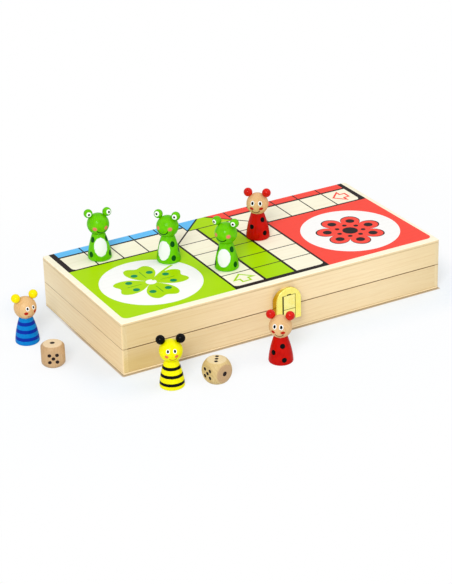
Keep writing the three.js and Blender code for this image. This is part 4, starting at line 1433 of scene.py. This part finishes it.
DICE = {
    "die_left": (-112.5, (5, 2, 4, 3, 1, 6),
                 die_material("left die", 2, colour(206, 170, 128), colour(181, 144, 102),
                              colour(234, 209, 171), colour(212, 183, 143), (0.97, 0.97, 0.95))),
    "die_front": (-79, (1, 6, 2, 5, 3, 4),
                  die_material("front die", 0, colour(238, 218, 172), colour(215, 190, 144),
                               colour(197, 162, 119), colour(165, 131, 91), (0.83, 0.76, 0.58))),
}
for name, (heading, numbers, wood) in DICE.items():
    points, faces, rims = die_surface(numbers)
    stand = (middle_of(name), math.radians(heading))
    made = on_stand(name + "_tumbled", points, faces, stand, name, wood, ROUND_DIE)
    pip = made.data.attributes.new("pip", "FLOAT", "POINT")
    pip.data.foreach_set("value", rims.astype(np.float32))
    recalculated(made.data, ROUND_DIE)
    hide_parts(name)
    print(made.name, "has", len(made.data.polygons), "faces")

# %% [markdown]
# ## Floor and light
# The set stands on a white table in a white room. The floor is a plain pale surface; seen by the
# camera it is lifted most of the way to white, so that only a soft shadow stays under the pieces.
# A thin line of warm grey at the foot of the box stands for the shade between wood and table. It
# fades out towards the back, where the light comes in.

# %% Floor
REACH, BELOW = 8.0, -0.05 * MM
floor_mesh = bpy.data.meshes.new("floor")
corners = [(-REACH, -REACH, BELOW), (REACH, -REACH, BELOW), (REACH, REACH, BELOW),
           (-REACH, REACH, BELOW)]
floor_mesh.from_pydata(corners, [], [(0, 1, 2, 3)])
floor = bpy.data.objects.new("floor", floor_mesh)
bpy.context.scene.collection.objects.link(floor)
FLOOR_GLOW, OUTER_GLOW = 0.42, 0.5
SHADE_FROM, SHADE_TO, LAST_SHADE_FROM, LAST_SHADE_TO = 13.0, 47.0, 60.0, 220.0
CONTACT_WIDTH, CONTACT_FULL = 2.0, 0.7
TABLE_WHITE, CONTACT_GREY = colour(231, 240, 250), colour(200, 182, 154)


def seen_directly(b):
    """1 for what the camera sees, itself or mirrored or through glass, and 0 for other light."""
    path = b.node("ShaderNodeLightPath")
    seen, mirrored, through = (b.field(path, f"Is {kind} Ray")
                               for kind in ("Camera", "Glossy", "Transmission"))
    return seen | mirrored | through


floor_material = bpy.data.materials.new("white table")
floor_material.use_nodes = True
tree = floor_material.node_tree
table_top = tree.nodes["Principled BSDF"]
table_top.inputs["Roughness"].default_value = 0.6
table_top.inputs["Specular IOR Level"].default_value = 0.1
glow = tree.nodes.new("ShaderNodeEmission")
glow.inputs["Color"].default_value = (1, 1, 1, 1)
bench = Bench(tree)
x, y, _ = bench.split(here(bench))
aside, ahead = (abs(x) - box_corner.x) | 0.0, (abs(y) - box_corner.y) | 0.0
from_box = bench.length(aside, ahead)
share = bench.fade(from_box, SHADE_FROM, SHADE_TO) * OUTER_GLOW + FLOOR_GLOW
last_share = 1.0 - FLOOR_GLOW - OUTER_GLOW
share = share + bench.fade(from_box, LAST_SHADE_FROM, LAST_SHADE_TO) * last_share
contact = bench.fade(from_box, CONTACT_WIDTH, CONTACT_FULL) * bench.fade(y, box_corner.y, 0.0)
table_tone = bench.mix(contact, TABLE_WHITE, CONTACT_GREY)
tree.links.new(table_tone.socket, table_top.inputs["Base Color"])
share = share * (1.0 - contact) * seen_directly(bench)
blend = tree.nodes.new("ShaderNodeMixShader")
tree.links.new(share.socket, blend.inputs[0])
tree.links.new(table_top.outputs[0], blend.inputs[1])
tree.links.new(glow.outputs[0], blend.inputs[2])
tree.links.new(blend.outputs[0], tree.nodes["Material Output"].inputs["Surface"])
floor.data.materials.append(floor_material)
print("floor glows", FLOOR_GLOW, "by the box and", round(FLOOR_GLOW + OUTER_GLOW, 2), "further out")

# %% [markdown]
# Such pictures are taken in a white tent, where light comes evenly from everywhere and two large
# lamps give it a direction. The room is seen as pure white, and lights the set a little less than
# that, so that the lamps can add the rest and the paint renders about as it is written.

# %% Room and lamps
ROOM_LIGHT = 0.62
world = bpy.data.worlds.new("white room")
bpy.context.scene.world = world
world.use_nodes = True
tree = world.node_tree
room = tree.nodes["Background"]
room.inputs["Color"].default_value = (1, 1, 1, 1)
strength = tree.nodes.new("ShaderNodeMapRange")
strength.inputs["To Min"].default_value, strength.inputs["To Max"].default_value = ROOM_LIGHT, 1.0
tree.links.new(seen_directly(Bench(tree)).socket, strength.inputs["Value"])
tree.links.new(strength.outputs["Result"], room.inputs["Strength"])


def soft_lamp(name, place, size, watts):
    """A square lamp that faces the middle of the set."""
    lamp = bpy.data.lights.new(name, "AREA")
    lamp.shape, lamp.size, lamp.energy = "SQUARE", size, watts
    thing = bpy.data.objects.new(name, lamp)
    thing.location = place
    thing.rotation_euler = (-Vector(place)).to_track_quat("-Z", "Y").to_euler()
    bpy.context.scene.collection.objects.link(thing)


soft_lamp("lamp by the camera", (-1.28, -1.45, 1.42), 0.8, 28)
soft_lamp("lamp overhead", (1.2, -0.3, 1.8), 1.5, 9)
bpy.context.scene.view_settings.view_transform = "Standard"
print("lamps:", sorted(light.name for light in bpy.data.lights))

# %% [markdown]
# ## Finish
